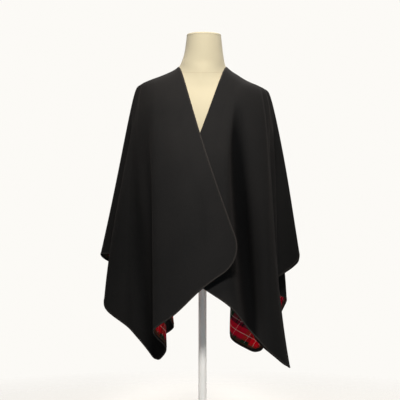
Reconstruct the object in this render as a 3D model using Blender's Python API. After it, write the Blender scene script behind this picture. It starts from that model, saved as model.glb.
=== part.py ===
"""A black wrap poncho with a tartan inside, worn on a limbless dress form.

The garment is one rectangle of double cloth, slit from the middle of its front hem to
the neck.  Its solids follow the cloth's fold lines.  Each fold line starts on the
shoulder line and hangs down to the cloth's edge.  The ring of fold lines runs from the
right front's slit edge round the right arm, the back and the left arm to the left
front's slit edge.  A smooth surface through them is the outside of the cloth, and every
wall is that surface moved inwards.

The front faces -Y and the wearer's left is +X.  The stand's base rests on z = 0 with
its middle at the origin.  The tables are in centimetres, with heights counted from the
neck point, where the neck meets the shoulder.
"""

import bpy
import numpy as np

CM = 0.01

# ---- driving dimensions, in metres ----
NECK_POINT_HEIGHT = 1.37
OUTER_WALL = 0.0016
LAYER_GAP = 0.0003
TARTAN_WALL = 0.0010
SEAM_GAP = 0.0003
EDGE_BAND = 0.008
SLIT_CORNER_RADIUS = 0.075
TIP_RADII = (0.030, 0.030, 0.030, 0.030, 0.055)  # one for each of the hem's corners
ARM_TOP_RADIUS = 0.045
TOUCH_GAP = 0.0003

POLE_RADIUS = 0.0125
FLANGE_RADIUS = 0.045
FLANGE_HEIGHT = 0.018
BASE_RADIUS = 0.170
BASE_RIM_HEIGHT = 0.006
BASE_CROWN_HEIGHT = 0.010
BASE_HUB_RADIUS = 0.028
BASE_HUB_HEIGHT = 0.034
EDGE_ROUNDING = 0.002
COLLAR_WALL = 0.006
NECK_CAP_THICKNESS = 0.005
# the torso's foot and the cap are drawn in from the section above or below, in centimetres
FOOT_DROP = 0.7
FOOT_SHRINK = 0.8
CAP_SHRINK = 0.1
CAP_TOP_SHRINK = 0.5
CAP_SHOULDER = 0.7
STAND_SIDES = 32

# ---- the shoulder line, from the nape round the neck and outwards ----
# reach is the distance along the line, ease is how softly the cloth bends over it;
# the wearer's left shoulder is the lower one
SHOULDER_COLUMNS = ("reach", "x", "y", "z_right", "z_left", "ease")
SHOULDER_LINE = (
    (0.0, 0.0, 6.9, 1.4, 1.4, 0.06),
    (4.0, 3.9, 5.9, 1.2, 1.2, 0.07),
    (8.0, 6.7, 3.5, 0.7, 0.7, 0.09),
    (12.0, 7.6, 0.4, 0.0, 0.0, 0.12),
    (14.0, 9.2, 0.5, -1.1, -1.3, 0.12),
    (16.0, 10.9, 0.5, -1.95, -2.4, 0.12),
    (18.5, 13.2, 0.6, -2.9, -3.85, 0.12),
    (21.0, 15.6, 0.8, -3.75, -5.0, 0.12),
    (23.0, 17.4, 1.3, -4.4, -5.75, 0.10),
    (24.5, 18.8, 1.7, -5.0, -6.4, 0.09),
    (25.5, 19.7, 1.7, -5.6, -6.9, 0.08),
    (27.0, 21.0, 1.7, -6.6, -7.8, 0.06),
)
NECK_POINT_REACH = 12.0

# ---- the fold lines, in order round the ring ----
# reach is negative on the wearer's right; chest and waist are STATIONS of the way down;
# roll is the radius that the fold's turn is opened to
FOLD_COLUMNS = ("reach", "chest_x", "chest_y", "waist_x", "waist_y", "hem_x", "hem_y", "hem_z", "roll")
STATIONS = (0.0, 0.25, 0.6, 1.0)
RIGHT_FRONT_FOLDS = (
    (-12.0, -4.2, -10.0, 2.6, -16.6, 12.2, -18.8, -59.2, 0),     # slit edge
    (-15.0, -7.6, -11.4, -2.6, -17.6, 0.1, -18.8, -67.5, 0),     # middle
    (-17.8, -11.5, -12.0, -8.8, -17.6, -8.7, -18.3, -75.7, 0),   # over the bust
    (-20.3, -15.0, -11.5, -15.0, -16.0, -14.8, -16.5, -80.3, 0.6),  # front ridge
    (-22.5, -17.4, -9.2, -14.5, -11.0, -11.1, -9.0, -87.1, 0),   # turned back
    (-23.6, -19.3, -6.5, -17.5, -6.5, -14.3, -4.0, -92.0, 0),    # corner of the cloth
    (-24.3, -20.6, -3.8, -22.2, -4.0, -22.2, -2.5, -82.0, 0),    # side edge
    (-24.9, -21.6, -1.7, -26.5, -1.6, -30.6, -1.0, -72.7, 0.8),  # arm ridge
    (-25.5, -22.1, 0.1, -21.0, 1.1, -17.5, 2.2, -58.0, 0.4),     # arm valley
)
RIGHT_ARM_FOLD = (-26.2, -23.3, 2.05, -27.4, 3.4, -32.4, 4.4, -58.7, 0.9)
BACK_FOLDS = (
    (-25.5, -22.1, 4.4, -21.4, 6.2, -20.5, 7.4, -66.0, 0),       # right arm valley
    (-24.8, -21.2, 6.2, -16.2, 8.0, -9.3, 9.6, -82.2, 0.5),      # side edge, turned in
    (-23.8, -20.6, 8.0, -18.8, 10.2, -17.2, 11.6, -88.4, 0.7),   # right corner
    (-22.0, -18.6, 9.9, -15.6, 12.6, -11.4, 13.8, -83.0, 0.6),   # turned in
    (-19.6, -16.2, 11.6, -19.4, 15.2, -23.5, 15.8, -77.5, 0.9),  # turned back
    (-16.5, -12.0, 11.9, -13.0, 16.0, -14.5, 18.0, -74.0, 0),    # right flute
    (-12.0, -7.6, 12.0, -7.4, 14.0, -7.6, 14.9, -71.5, 0),       # right trough
    (-6.0, -3.8, 12.1, -3.7, 14.6, -3.8, 15.8, -70.0, 0),        # beside the middle
    (0.0, 0.0, 12.0, 0.0, 14.8, 0.0, 16.4, -69.3, 0),            # middle
    (6.0, 3.8, 12.1, 3.7, 14.6, 3.8, 15.8, -70.0, 0),            # beside the middle
    (12.0, 7.6, 12.0, 7.4, 14.0, 7.6, 14.9, -71.5, 0),           # left trough
    (16.5, 12.0, 11.9, 13.0, 16.0, 14.5, 18.0, -74.0, 0),        # left flute
    (19.6, 16.2, 11.6, 19.4, 15.2, 23.5, 15.8, -78.5, 0.9),      # turned back
    (22.0, 18.2, 9.6, 13.2, 12.0, 9.3, 12.4, -85.2, 0.4),        # turned in
    (23.8, 20.2, 8.3, 19.3, 10.8, 18.0, 11.0, -92.0, 0),         # left corner
    (24.8, 21.4, 6.3, 24.6, 8.8, 27.2, 10.2, -74.3, 0.9),        # left arm ridge
    (25.5, 22.2, 4.4, 21.0, 6.4, 20.0, 7.8, -69.5, 0.4),         # left arm valley
)
LEFT_ARM_FOLD = (26.2, 23.5, 2.01, 27.4, 3.4, 31.2, 5.2, -59.8, 0.9)
LEFT_FRONT_FOLDS = (
    (25.5, 22.2, 0.1, 20.4, 1.5, 17.5, 2.8, -71.0, 0.4),         # arm valley
    (24.9, 21.7, -1.6, 22.9, -0.9, 24.5, 0.2, -74.0, 0.8),       # arm ridge
    (24.2, 20.9, -3.8, 18.4, -3.9, 16.0, -3.6, -84.0, 0.4),      # turned back
    (23.5, 20.1, -6.3, 22.3, -8.2, 26.9, -8.0, -94.7, 1.0),      # corner of the cloth
    (22.0, 17.4, -9.2, 18.0, -12.8, 19.3, -14.2, -86.3, 0),      # ridge
    (20.2, 11.5, -10.7, 12.3, -10.0, 14.6, -12.6, -81.2, 0),      # trough
    (17.8, 8.8, -11.4, 7.0, -15.9, 8.0, -17.3, -73.1, 0),        # over the bust
    (15.0, 6.2, -10.8, 2.0, -15.7, 0.1, -17.3, -67.6, 0),        # middle
    (12.0, 3.6, -9.8, -4.5, -15.0, -11.5, -16.2, -58.0, 0),      # slit edge
)
# the rows, counted from 0 at the right front's slit edge, whose ends are corners of the hem
CORNER_ROWS = (5, 12, 24, 27, 31)

# ---- the dress form: level sections from the neck's top to the torso's foot ----
# right and left reach to the form's two sides, front and back from its middle line;
# fullness 2 is an ellipse, and less than 2 a more pointed oval; throat is how far the neck's
# front stands out of the section's middle below the neck
FORM_COLUMNS = ("z", "right", "left", "front", "back", "fullness", "throat")
FORM_SECTIONS = (
    (9.5, 4.95, 5.85, 5.2, 5.2, 2.0, 0.0),
    (7.0, 5.25, 6.15, 5.4, 5.5, 2.0, 0.0),
    (4.6, 5.60, 6.40, 5.6, 5.8, 2.0, 0.0),
    (2.2, 6.25, 6.75, 5.8, 6.0, 2.0, 0.0),
    (0.9, 6.90, 7.00, 5.9, 5.7, 2.0, 0.0),
    (-0.02, 7.20, 7.20, 4.9, 4.8, 2.0, 1.3),
    (-0.72, 7.75, 7.70, 4.9, 4.8, 1.85, 1.55),
    (-1.42, 8.80, 8.50, 4.9, 5.2, 1.7, 1.7),
    (-2.12, 10.15, 9.60, 5.0, 5.6, 1.6, 1.8),
    (-2.72, 11.50, 10.45, 5.2, 6.0, 1.6, 1.7),
    (-3.42, 13.20, 11.65, 5.5, 6.5, 1.6, 1.5),
    (-4.02, 14.85, 12.50, 5.8, 6.9, 1.6, 1.3),
    (-4.72, 16.70, 13.80, 6.2, 7.4, 1.6, 1.15),
    (-5.32, 17.90, 15.00, 6.6, 7.8, 1.7, 0.9),
    (-6.6, 18.80, 17.30, 7.4, 8.3, 1.7, 0.45),
    (-8.5, 19.30, 18.90, 8.6, 9.4, 2.0, 0.0),
    (-11.0, 19.20, 19.20, 9.9, 10.0, 2.1, 0.0),
    (-14.0, 18.40, 18.40, 11.0, 10.3, 2.1, 0.0),
    (-18.0, 17.30, 17.30, 12.3, 10.2, 2.1, 0.0),
    (-22.0, 16.60, 16.60, 13.2, 9.8, 2.1, 0.0),
    (-27.0, 15.90, 15.90, 13.5, 9.3, 2.1, 0.0),
    (-34.0, 13.80, 13.80, 12.2, 8.3, 2.1, 0.0),
    (-41.0, 12.30, 12.30, 10.8, 7.8, 2.1, 0.0),
    (-47.0, 13.40, 13.40, 10.7, 8.8, 2.1, 0.0),
    (-53.0, 15.00, 15.00, 11.2, 10.0, 2.1, 0.0),
    (-59.0, 15.80, 15.80, 11.4, 10.6, 2.1, 0.0),
    (-64.0, 15.60, 15.60, 11.2, 10.4, 2.1, 0.0),
)
FORM_MIDDLE_Y = 0.6
THROAT_HALF_WIDTH = 7.05
FORM_SIDES = 36

# ---- how finely the cloth is divided, in centimetres ----
COLUMN_SAG = 0.12
WIDEST_COLUMN = 5.5
WIDEST_TOP = 2.4
CORNER_STEPS = 6
ROW_PLACES = (0.0, 0.04, 0.1, 0.2, 0.35, 0.55, 0.78, 1.0)
# how far back the two sides of a rolled turn lie, as a share of its radius
ROLL_DEPTH = 0.7
# the turns are also softened by averaging the curve over this stretch of edge
SOFT_SHIFTS = (-0.8, -0.4, 0.0, 0.4, 0.8)
SOFT_WEIGHTS = (1, 2, 3, 2, 1)


def columns(rows, names):
    """Turn a table into one array for each named column."""
    values = np.array(rows, dtype=float)
    return {name: values[:, index] for index, name in enumerate(names)}


def knot_slopes(knots, values):
    """Slope at each knot, from the parabola through it and its two neighbours."""
    if len(knots) == 2:
        only = (values[1] - values[0]) / (knots[1] - knots[0])
        return np.array([only, only])
    steps = np.diff(knots)
    rises = np.diff(values) / steps
    inner = (steps[1:] * rises[:-1] + steps[:-1] * rises[1:]) / (steps[1:] + steps[:-1])
    first = 1.5 * rises[0] - 0.5 * inner[0]
    last = 1.5 * rises[-1] - 0.5 * inner[-1]
    return np.concatenate(([first], inner, [last]))


def smooth_curve(knots, values, places, corners=()):
    """Read a smooth curve through the knots at the given places; it may kink at corners."""
    knots = np.asarray(knots, dtype=float)
    places = np.asarray(places, dtype=float)
    result = np.empty_like(places)
    bounds = [0, *corners, len(knots) - 1]
    for first, last in zip(bounds[:-1], bounds[1:]):
        part_knots = knots[first:last + 1]
        part_values = np.asarray(values[first:last + 1], dtype=float)
        slopes = knot_slopes(part_knots, part_values)
        inside = (places >= part_knots[0]) & (places <= part_knots[-1])
        spot = places[inside]
        cell = np.clip(np.searchsorted(part_knots, spot, side="right") - 1, 0, len(part_knots) - 2)
        width = part_knots[cell + 1] - part_knots[cell]
        f = (spot - part_knots[cell]) / width
        result[inside] = (
            (2 * f**3 - 3 * f**2 + 1) * part_values[cell]
            + (f**3 - 2 * f**2 + f) * width * slopes[cell]
            + (3 * f**2 - 2 * f**3) * part_values[cell + 1]
            + (f**3 - f**2) * width * slopes[cell + 1]
        )
    return result


def opened_folds(rows):
    """Fold table with each rolled turn opened by a fold line on either side of it.

    The side lines stand one roll radius before and after the fold along the ring, and
    as far back from its ridge as the turn is sharp.  Returns the table's columns and the
    new number of each given row.
    """
    table = np.array(rows, dtype=float)
    lines = []
    numbers = []
    for index, own in enumerate(table):
        sides = {-1: own.copy(), 1: own.copy()}
        before, after = table[index - 1], table[(index + 1) % len(table)]
        for x, share in opened_stations(before, own, after):
            along = (after[x:x + 2] - before[x:x + 2]) / 2
            outward = own[x:x + 2] - (before[x:x + 2] + after[x:x + 2]) / 2
            half_span, height = np.linalg.norm(along), np.linalg.norm(outward)
            radius = own[-1] * share
            back = ROLL_DEPTH * radius * height / (height + half_span)
            for way, side in sides.items():
                side[x:x + 2] += way * radius * along / half_span - back * outward / height
        for way, neighbour in ((-1, before), (1, after)):
            near = np.linalg.norm(sides[way][5:7] - own[5:7]) / np.linalg.norm(neighbour[5:7] - own[5:7])
            sides[way][[0, 7]] += near * (neighbour - own)[[0, 7]]
        numbers.append(len(lines) + (own[-1] > 0))
        lines += [sides[-1], own, sides[1]] if own[-1] > 0 else [own]
    return columns(lines, FOLD_COLUMNS), numbers


def opened_stations(before, own, after):
    """First column of each station, and how wide a turn opens there next to the hem."""
    spans = []
    for x in (1, 3, 5):
        to_before = np.linalg.norm(own[x:x + 2] - before[x:x + 2])
        to_after = np.linalg.norm(after[x:x + 2] - own[x:x + 2])
        spans.append((x, min(to_before, to_after)))
    return [(x, span / spans[-1][1]) for x, span in spans]


SHOULDER = columns(SHOULDER_LINE, SHOULDER_COLUMNS)
FOLDS, NUMBERS = opened_folds(
    (*RIGHT_FRONT_FOLDS, RIGHT_ARM_FOLD, *BACK_FOLDS, LEFT_ARM_FOLD, *LEFT_FRONT_FOLDS)
)
FOLD_COUNT = len(FOLDS["reach"])
RIGHT_ARM = NUMBERS[len(RIGHT_FRONT_FOLDS)]
LEFT_ARM = NUMBERS[len(RIGHT_FRONT_FOLDS) + 1 + len(BACK_FOLDS)]
TIPS = tuple(NUMBERS[row] for row in CORNER_ROWS)


def shoulder_line(reach):
    """Points of the shoulder line and its ease, at signed reaches in centimetres."""
    size = np.abs(reach)
    neck = list(SHOULDER["reach"]).index(NECK_POINT_REACH)
    read = {
        name: smooth_curve(SHOULDER["reach"], SHOULDER[name], size, corners=(neck,))
        for name in SHOULDER_COLUMNS[1:]
    }
    height = np.where(reach < 0, read["z_right"], read["z_left"])
    points = np.stack((np.sign(reach) * read["x"], read["y"], height), axis=-1)
    return points, read["ease"]


def edge_lengths():
    """Length of the cloth's edge from each fold line to the next, in centimetres."""
    hem = np.stack((FOLDS["hem_x"], FOLDS["hem_y"], FOLDS["hem_z"]), axis=-1)
    return np.linalg.norm(np.diff(hem, axis=0), axis=1)


EDGE_STEPS = edge_lengths()
EDGE_PLACES = np.concatenate(([0.0], np.cumsum(EDGE_STEPS)))


def edge_spots(lines):
    """Places along the cloth's edge, in centimetres, of fractional fold line numbers."""
    return np.interp(lines, np.arange(FOLD_COUNT), EDGE_PLACES)


def softened(name, spots):
    """One column of the fold table along the edge, with the turns of the folds softened."""
    room = np.minimum(spots, EDGE_PLACES[-1] - spots) / max(SOFT_SHIFTS)
    total = np.zeros_like(spots)
    for shift, weight in zip(SOFT_SHIFTS, SOFT_WEIGHTS):
        total += weight * smooth_curve(EDGE_PLACES, FOLDS[name], spots + shift * np.minimum(room, 1))
    return total / sum(SOFT_WEIGHTS)


def fold_lines(lines):
    """Top, chest, waist and hem of the fold lines at fractional line numbers."""
    spots = edge_spots(lines)
    read = {name: softened(name, spots) for name in FOLD_COLUMNS[1:7]}
    hem_z = smooth_curve(EDGE_PLACES, FOLDS["hem_z"], spots, corners=TIPS)
    reach = smooth_curve(EDGE_PLACES, FOLDS["reach"], spots)
    top, ease = shoulder_line(reach)
    return top, ease, read, hem_z


def station_weights(places):
    """Weights of the four stations in the cubic that passes through them."""
    weights = []
    for index, own in enumerate(STATIONS):
        others = [station for other, station in enumerate(STATIONS) if other != index]
        weight = np.ones_like(places)
        for station in others:
            weight = weight * (places - station) / (own - station)
        weights.append(weight)
    return weights


def cloth_points(lines, places):
    """Points on the outside of the cloth, in metres.

    lines holds a fold line number for each column, and places how far down each point
    of the column lies, from 0 at the shoulder to 1 at the edge.  Across and depth follow
    the stations; the height falls slowly at first, so that the cloth rolls over the
    shoulder, and then evenly.
    """
    top, ease, read, hem_z = fold_lines(lines)
    weights = station_weights(places)
    ease = ease[:, None]
    fall = (places - ease * (1 - np.exp(-places / ease))) / (1 - ease * (1 - np.exp(-1 / ease)))
    across = sum(
        weight * column[:, None]
        for weight, column in zip(weights, (top[:, 0], read["chest_x"], read["waist_x"], read["hem_x"]))
    )
    depth = sum(
        weight * column[:, None]
        for weight, column in zip(weights, (top[:, 1], read["chest_y"], read["waist_y"], read["hem_y"]))
    )
    height = top[:, 2:3] + fall * (hem_z - top[:, 2])[:, None]
    points = np.stack((across, depth, height), axis=-1) * CM
    points[..., 2] += NECK_POINT_HEIGHT
    return points


def cloth_normals(lines, places):
    """Outward normals of the cloth, from its slopes along and across the fold lines."""
    step = 0.01
    before = np.clip(lines - step, 0, FOLD_COUNT - 1)
    after = np.clip(lines + step, 0, FOLD_COUNT - 1)
    along_ring = cloth_points(after, places) - cloth_points(before, places)
    above = np.clip(places - step, 0, 1)
    below = np.clip(places + step, 0, 1)
    down = cloth_points(lines, below) - cloth_points(lines, above)
    normals = np.cross(along_ring, down)
    # on the shoulder seam the fronts and the back share one normal, square to the seam
    reach = smooth_curve(EDGE_PLACES, FOLDS["reach"], edge_spots(lines))
    outer = np.sign(reach) * np.minimum(np.abs(reach) + step, SHOULDER["reach"][-1])
    inner = outer - np.sign(reach) * 2 * step
    seam = shoulder_line(outer)[0] - shoulder_line(inner)[0]
    seam_normal = np.cross(seam, (0.0, 1.0, 0.0))
    seam_normal *= np.sign(seam_normal[:, 2:3])
    on_seam = (np.abs(reach) >= NECK_POINT_REACH)[:, None] & (places == 0)
    normals = np.where(on_seam[..., None], seam_normal[:, None, :], normals)
    return normals / np.linalg.norm(normals, axis=-1, keepdims=True)


def shared_arm_normals(points, normals):
    """Turn the normals next to the shoulder's end towards one direction, square to its curve."""
    for arm, side in ((RIGHT_ARM, -1), (LEFT_ARM, 1)):
        end = cloth_points(np.array([float(arm)]), np.zeros((1, 1)))[0, 0]
        away = np.linalg.norm(points - end, axis=-1)
        own = np.clip(away / ARM_TOP_RADIUS, 0, 1)[..., None] ** 2
        shared = np.array((side * 0.6, 0.0, 0.8))
        normals = shared + own * (normals - shared)
    return normals / np.linalg.norm(normals, axis=-1, keepdims=True)


def corner_trim(distance, radius, inset):
    """How much a round corner takes off a fold line that ends this far from the corner."""
    reach = np.clip(radius - distance, 0.0, radius - inset)
    return radius - np.sqrt(np.maximum((radius - inset) ** 2 - reach**2, 0.0))


def slit_distance(lines):
    """Distance along the hem from the nearer slit edge, in metres."""
    spots = edge_spots(lines)
    return np.minimum(spots, EDGE_PLACES[-1] - spots) * CM


def trims(lines, inset):
    """What the slit corners and the round tips take off the end of each fold line."""
    trim = corner_trim(slit_distance(lines), SLIT_CORNER_RADIUS, inset)
    spots = edge_spots(lines)
    for tip, radius in zip(TIPS, TIP_RADII):
        away = np.abs(spots - EDGE_PLACES[tip]) * CM
        closeness = np.clip(1 - away / radius, 0, 1)
        trim = trim + (np.sqrt(2) - 1) * radius * closeness**2
        trim = trim + (np.sqrt(2) - 1) * inset * closeness
    return trim


def corner_columns():
    """Distances from the slit edge of the columns across its band and its round corner."""
    radius = SLIT_CORNER_RADIUS
    angles = np.linspace(np.arccos(1 - EDGE_BAND / radius), np.pi / 2, CORNER_STEPS)
    return np.concatenate(([0.0], radius * (1 - np.cos(angles)))) / CM


def bend_cells(start, end):
    """Places between two spots of the edge at which its chords stay close to its curves."""
    spots = np.linspace(start, end, 41)
    step = spots[1] - spots[0]
    bend = np.zeros(len(spots) - 2)
    for name in ("chest", "waist", "hem"):
        curve = np.stack((softened(name + "_x", spots), softened(name + "_y", spots)), axis=-1)
        second = (curve[2:] - 2 * curve[1:-1] + curve[:-2]) / step**2
        bend = np.maximum(bend, np.linalg.norm(second, axis=-1))
    bend = np.concatenate((bend[:1], bend, bend[-1:]))
    wanted = np.sqrt(bend / (8 * COLUMN_SAG))
    reach = smooth_curve(EDGE_PLACES, FOLDS["reach"], spots)
    wanted = np.maximum(wanted, 1 / WIDEST_COLUMN)
    wanted = np.maximum(wanted, np.abs(np.gradient(reach, spots)) / WIDEST_TOP)
    total = np.concatenate(([0.0], np.cumsum((wanted[1:] + wanted[:-1]) / 2 * step)))
    cells = max(1, int(np.ceil(total[-1] - 0.25)))
    return list(np.interp(np.linspace(0, total[-1], cells + 1), total, spots))


def piece_columns(first, last):
    """Fold line numbers of a cloth piece's columns, closer together where it bends."""
    stops = [EDGE_PLACES[first]]
    stops += [EDGE_PLACES[line] for line in NUMBERS if first < line <= last]
    found = []
    for start, end in zip(stops[:-1], stops[1:]):
        ahead = [start]
        behind = [end]
        if start == 0:
            ahead = list(corner_columns())
        if end == EDGE_PLACES[-1]:
            behind = list(end - corner_columns()[::-1])
        found += ahead[:-1] + bend_cells(ahead[-1], behind[0])[:-1] + behind[:-1]
    found.append(stops[-1])
    return np.interp(found, EDGE_PLACES, np.arange(FOLD_COUNT))


def piece_grid(first, last):
    """Points and normals of the outside of one cloth piece, and its columns with a lining.

    The last row but one, and the columns next to the slit edges, are where the tartan
    layer ends inside the edge band.
    """
    lines = piece_columns(first, last)
    rows = np.tile(ROW_PLACES, (len(lines), 1))
    lengths = np.linalg.norm(np.diff(cloth_points(lines, rows), axis=1), axis=-1).sum(axis=1)
    ends = 1 - trims(lines, 0.0) / lengths
    pulled = 1 - trims(lines, EDGE_BAND) / lengths
    pulled = np.minimum(pulled, ends - EDGE_BAND / 2 / lengths)
    places = np.insert(ends[:, None] * rows, -1, pulled, axis=1)
    points = cloth_points(lines, places)
    normals = shared_arm_normals(points, cloth_normals(lines, places))
    # the seams: along the shoulder towards front or back, at the arm fold round the fold
    side = 1 if first == RIGHT_ARM else -1
    points[:, 0, 1] += side * SEAM_GAP / 2
    for column, way in ((0, 1), (-1, -1)):
        if lines[column] in (RIGHT_ARM, LEFT_ARM):
            points[column, 1:] += way * ring_way(lines[column], places[column, 1:]) * SEAM_GAP / 2
    lined = slice(int(first == 0), len(lines) - int(last == FOLD_COUNT - 1))
    return points, normals, lined


def ring_way(line, places):
    """Unit steps along the ring at one fold line, towards the next one."""
    step = 0.01
    before, after = cloth_points(np.array([line - step, line + step]), np.stack((places, places)))
    return (after - before) / np.linalg.norm(after - before, axis=-1, keepdims=True)


def new_object(name, vertices, faces, material):
    """Make one mesh object with its own material."""
    mesh = bpy.data.meshes.new(name)
    mesh.from_pydata([tuple(vertex) for vertex in vertices], [], faces)
    mesh.materials.append(material)
    mesh.validate()
    thing = bpy.data.objects.new(name, mesh)
    bpy.context.scene.collection.objects.link(thing)
    mesh.shade_smooth()
    mesh.set_sharp_from_angle(angle=np.radians(40))
    return thing


def wall(name, points, normals, outside, inside, material):
    """Close a cloth wall between two depths below the outside of the garment."""
    across, down = points.shape[:2]
    outer = (points - normals * outside).reshape(-1, 3)
    inner = (points - normals * inside).reshape(-1, 3)
    shift = len(outer)
    faces = []
    for i in range(across - 1):
        for j in range(down - 1):
            a, b = i * down + j, (i + 1) * down + j
            c, d = b + 1, a + 1
            faces += [(a, b, c), (a, c, d)]
            faces += [(a + shift, c + shift, b + shift), (a + shift, d + shift, c + shift)]
    rim = [i * down for i in range(across)]
    rim += [(across - 1) * down + j for j in range(1, down)]
    rim += [i * down + down - 1 for i in range(across - 2, -1, -1)]
    rim += [j for j in range(down - 2, 0, -1)]
    for here, after in zip(rim, rim[1:] + rim[:1]):
        faces += [(here, here + shift, after + shift), (here, after + shift, after)]
    return new_object(name, np.concatenate((outer, inner)), faces, material)


def fabric(name, colour, roughness):
    """A plain material in the piece's own colour."""
    material = bpy.data.materials.new(name)
    material.use_nodes = True
    shader = material.node_tree.nodes["Principled BSDF"]
    shader.inputs["Base Color"].default_value = (*colour, 1.0)
    shader.inputs["Roughness"].default_value = roughness
    shader.inputs["Metallic"].default_value = 0.0
    return material


def make_cloth():
    """Black outside and tartan inside of the right front, the back and the left front."""
    black = fabric("black_cloth", (0.013, 0.013, 0.014), 0.9)
    tartan = fabric("red_tartan_cloth", (0.30, 0.012, 0.02), 0.9)
    pieces = {
        "right_front": (0, RIGHT_ARM),
        "back": (RIGHT_ARM, LEFT_ARM),
        "left_front": (LEFT_ARM, FOLD_COUNT - 1),
    }
    for name, (first, last) in pieces.items():
        points, normals, lined = piece_grid(first, last)
        wall("poncho_" + name, points, normals, 0.0, OUTER_WALL, black)
        lined_points, lined_normals = points[lined, :-1], normals[lined, :-1]
        outside = OUTER_WALL + LAYER_GAP
        wall("tartan_" + name, lined_points, lined_normals, outside, outside + TARTAN_WALL, tartan)


def loft(name, rings, material):
    """Close a stack of level rings, given from the bottom up, with flat ends."""
    count = len(rings[0])
    faces = [tuple(reversed(range(count)))]
    for level in range(len(rings) - 1):
        for i in range(count):
            j = (i + 1) % count
            low, high = level * count, (level + 1) * count
            faces.append((low + i, low + j, high + j, high + i))
    top = (len(rings) - 1) * count
    faces.append(tuple(range(top, top + count)))
    return new_object(name, np.concatenate(rings), faces, material)


def form_ring(row, shrink=0.0, lift=0.0):
    """One oval section of the dress form, in metres, anticlockwise seen from above."""
    section = dict(zip(FORM_COLUMNS, row))
    angles = np.linspace(0, 2 * np.pi, FORM_SIDES, endpoint=False)
    across, deep = np.cos(angles), np.sin(angles)
    width = np.where(across < 0, section["right"], section["left"]) - shrink
    depth = np.where(deep < 0, section["front"], section["back"]) - shrink
    x = width * np.sign(across) * np.abs(across) ** (2 / section["fullness"])
    y = FORM_MIDDLE_Y + depth * np.sign(deep) * np.abs(deep) ** (2 / section["fullness"])
    y -= (deep < 0) * section["throat"] * np.maximum(1 - (x / THROAT_HALF_WIDTH) ** 2, 0)
    ring = np.stack((x, y, np.full_like(x, section["z"])), axis=-1) * CM
    ring[:, 2] += NECK_POINT_HEIGHT + lift
    return ring


def make_form():
    """The torso with its neck, and the cap that closes the neck."""
    jersey = fabric("cream_jersey", (0.72, 0.66, 0.55), 0.85)
    sections = list(reversed(FORM_SECTIONS))
    foot = form_ring(sections[0], shrink=FOOT_SHRINK, lift=-FOOT_DROP * CM)
    loft("form_torso", [foot, *(form_ring(section) for section in sections)], jersey)
    top = FORM_SECTIONS[0]
    low = form_ring(top, shrink=CAP_SHRINK, lift=TOUCH_GAP)
    middle = form_ring(top, shrink=CAP_SHRINK, lift=TOUCH_GAP + CAP_SHOULDER * NECK_CAP_THICKNESS)
    high = form_ring(top, shrink=CAP_TOP_SHRINK, lift=TOUCH_GAP + NECK_CAP_THICKNESS)
    loft("form_neck_cap", [low, middle, high], jersey)


def turned(name, profile, material):
    """Turn a profile of (radius, height) pairs, given from the bottom up, round the pole."""
    angles = np.linspace(0, 2 * np.pi, STAND_SIDES, endpoint=False)
    rings = [
        np.stack((radius * np.cos(angles), radius * np.sin(angles), np.full(STAND_SIDES, height)), axis=-1)
        for radius, height in profile
    ]
    return loft(name, rings, material)


def make_stand():
    """Base plate with a short hub, the pole in it, and the flange under the torso."""
    white = fabric("white_painted_steel", (0.80, 0.80, 0.78), 0.35)
    torso_foot = NECK_POINT_HEIGHT + (FORM_SECTIONS[-1][0] - FOOT_DROP) * CM
    flange_top = torso_foot - TOUCH_GAP
    flange_foot = flange_top - FLANGE_HEIGHT
    base = (
        (BASE_RADIUS - EDGE_ROUNDING, 0.0),
        (BASE_RADIUS, EDGE_ROUNDING),
        (BASE_RADIUS, BASE_RIM_HEIGHT - EDGE_ROUNDING / 2),
        (BASE_RADIUS - 2 * EDGE_ROUNDING, BASE_RIM_HEIGHT),
        (BASE_HUB_RADIUS + 3 * COLLAR_WALL, BASE_CROWN_HEIGHT),
        (BASE_HUB_RADIUS, BASE_CROWN_HEIGHT + EDGE_ROUNDING),
        (BASE_HUB_RADIUS - EDGE_ROUNDING, BASE_HUB_HEIGHT),
    )
    turned("stand_base", base, white)
    pole = (
        (POLE_RADIUS, BASE_HUB_HEIGHT + TOUCH_GAP),
        (POLE_RADIUS, flange_foot - TOUCH_GAP),
    )
    turned("stand_pole", pole, white)
    flange = (
        (POLE_RADIUS + COLLAR_WALL, flange_foot),
        (POLE_RADIUS + COLLAR_WALL + EDGE_ROUNDING, flange_foot + FLANGE_HEIGHT / 2),
        (FLANGE_RADIUS, flange_top - 2 * EDGE_ROUNDING),
        (FLANGE_RADIUS, flange_top),
    )
    turned("stand_flange", flange, white)


def main():
    """Clear the scene and build every piece."""
    for thing in list(bpy.data.objects):
        bpy.data.objects.remove(thing, do_unlink=True)
    make_cloth()
    make_form()
    make_stand()


main()
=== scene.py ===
import bpy
import numpy as np
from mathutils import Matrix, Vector


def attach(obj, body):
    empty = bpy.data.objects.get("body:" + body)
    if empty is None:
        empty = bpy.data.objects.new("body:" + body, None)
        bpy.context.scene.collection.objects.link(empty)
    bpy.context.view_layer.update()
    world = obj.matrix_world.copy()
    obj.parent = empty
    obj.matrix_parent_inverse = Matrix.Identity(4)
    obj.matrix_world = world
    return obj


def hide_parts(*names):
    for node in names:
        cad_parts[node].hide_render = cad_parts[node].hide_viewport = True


# A black wrap poncho with a tartan inside, worn on a limbless dress form.
# Garment tables are in centimetres, heights from the neck point; meshes are in metres.
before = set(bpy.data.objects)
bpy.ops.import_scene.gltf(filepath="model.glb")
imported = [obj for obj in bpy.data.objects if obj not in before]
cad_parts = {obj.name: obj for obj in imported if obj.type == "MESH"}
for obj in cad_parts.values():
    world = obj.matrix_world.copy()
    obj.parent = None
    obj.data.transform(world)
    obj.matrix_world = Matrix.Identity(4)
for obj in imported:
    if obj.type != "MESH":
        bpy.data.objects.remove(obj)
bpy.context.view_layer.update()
cm, mm = 0.01, 0.001
neckPointHeight = 1.37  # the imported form's neck point


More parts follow.
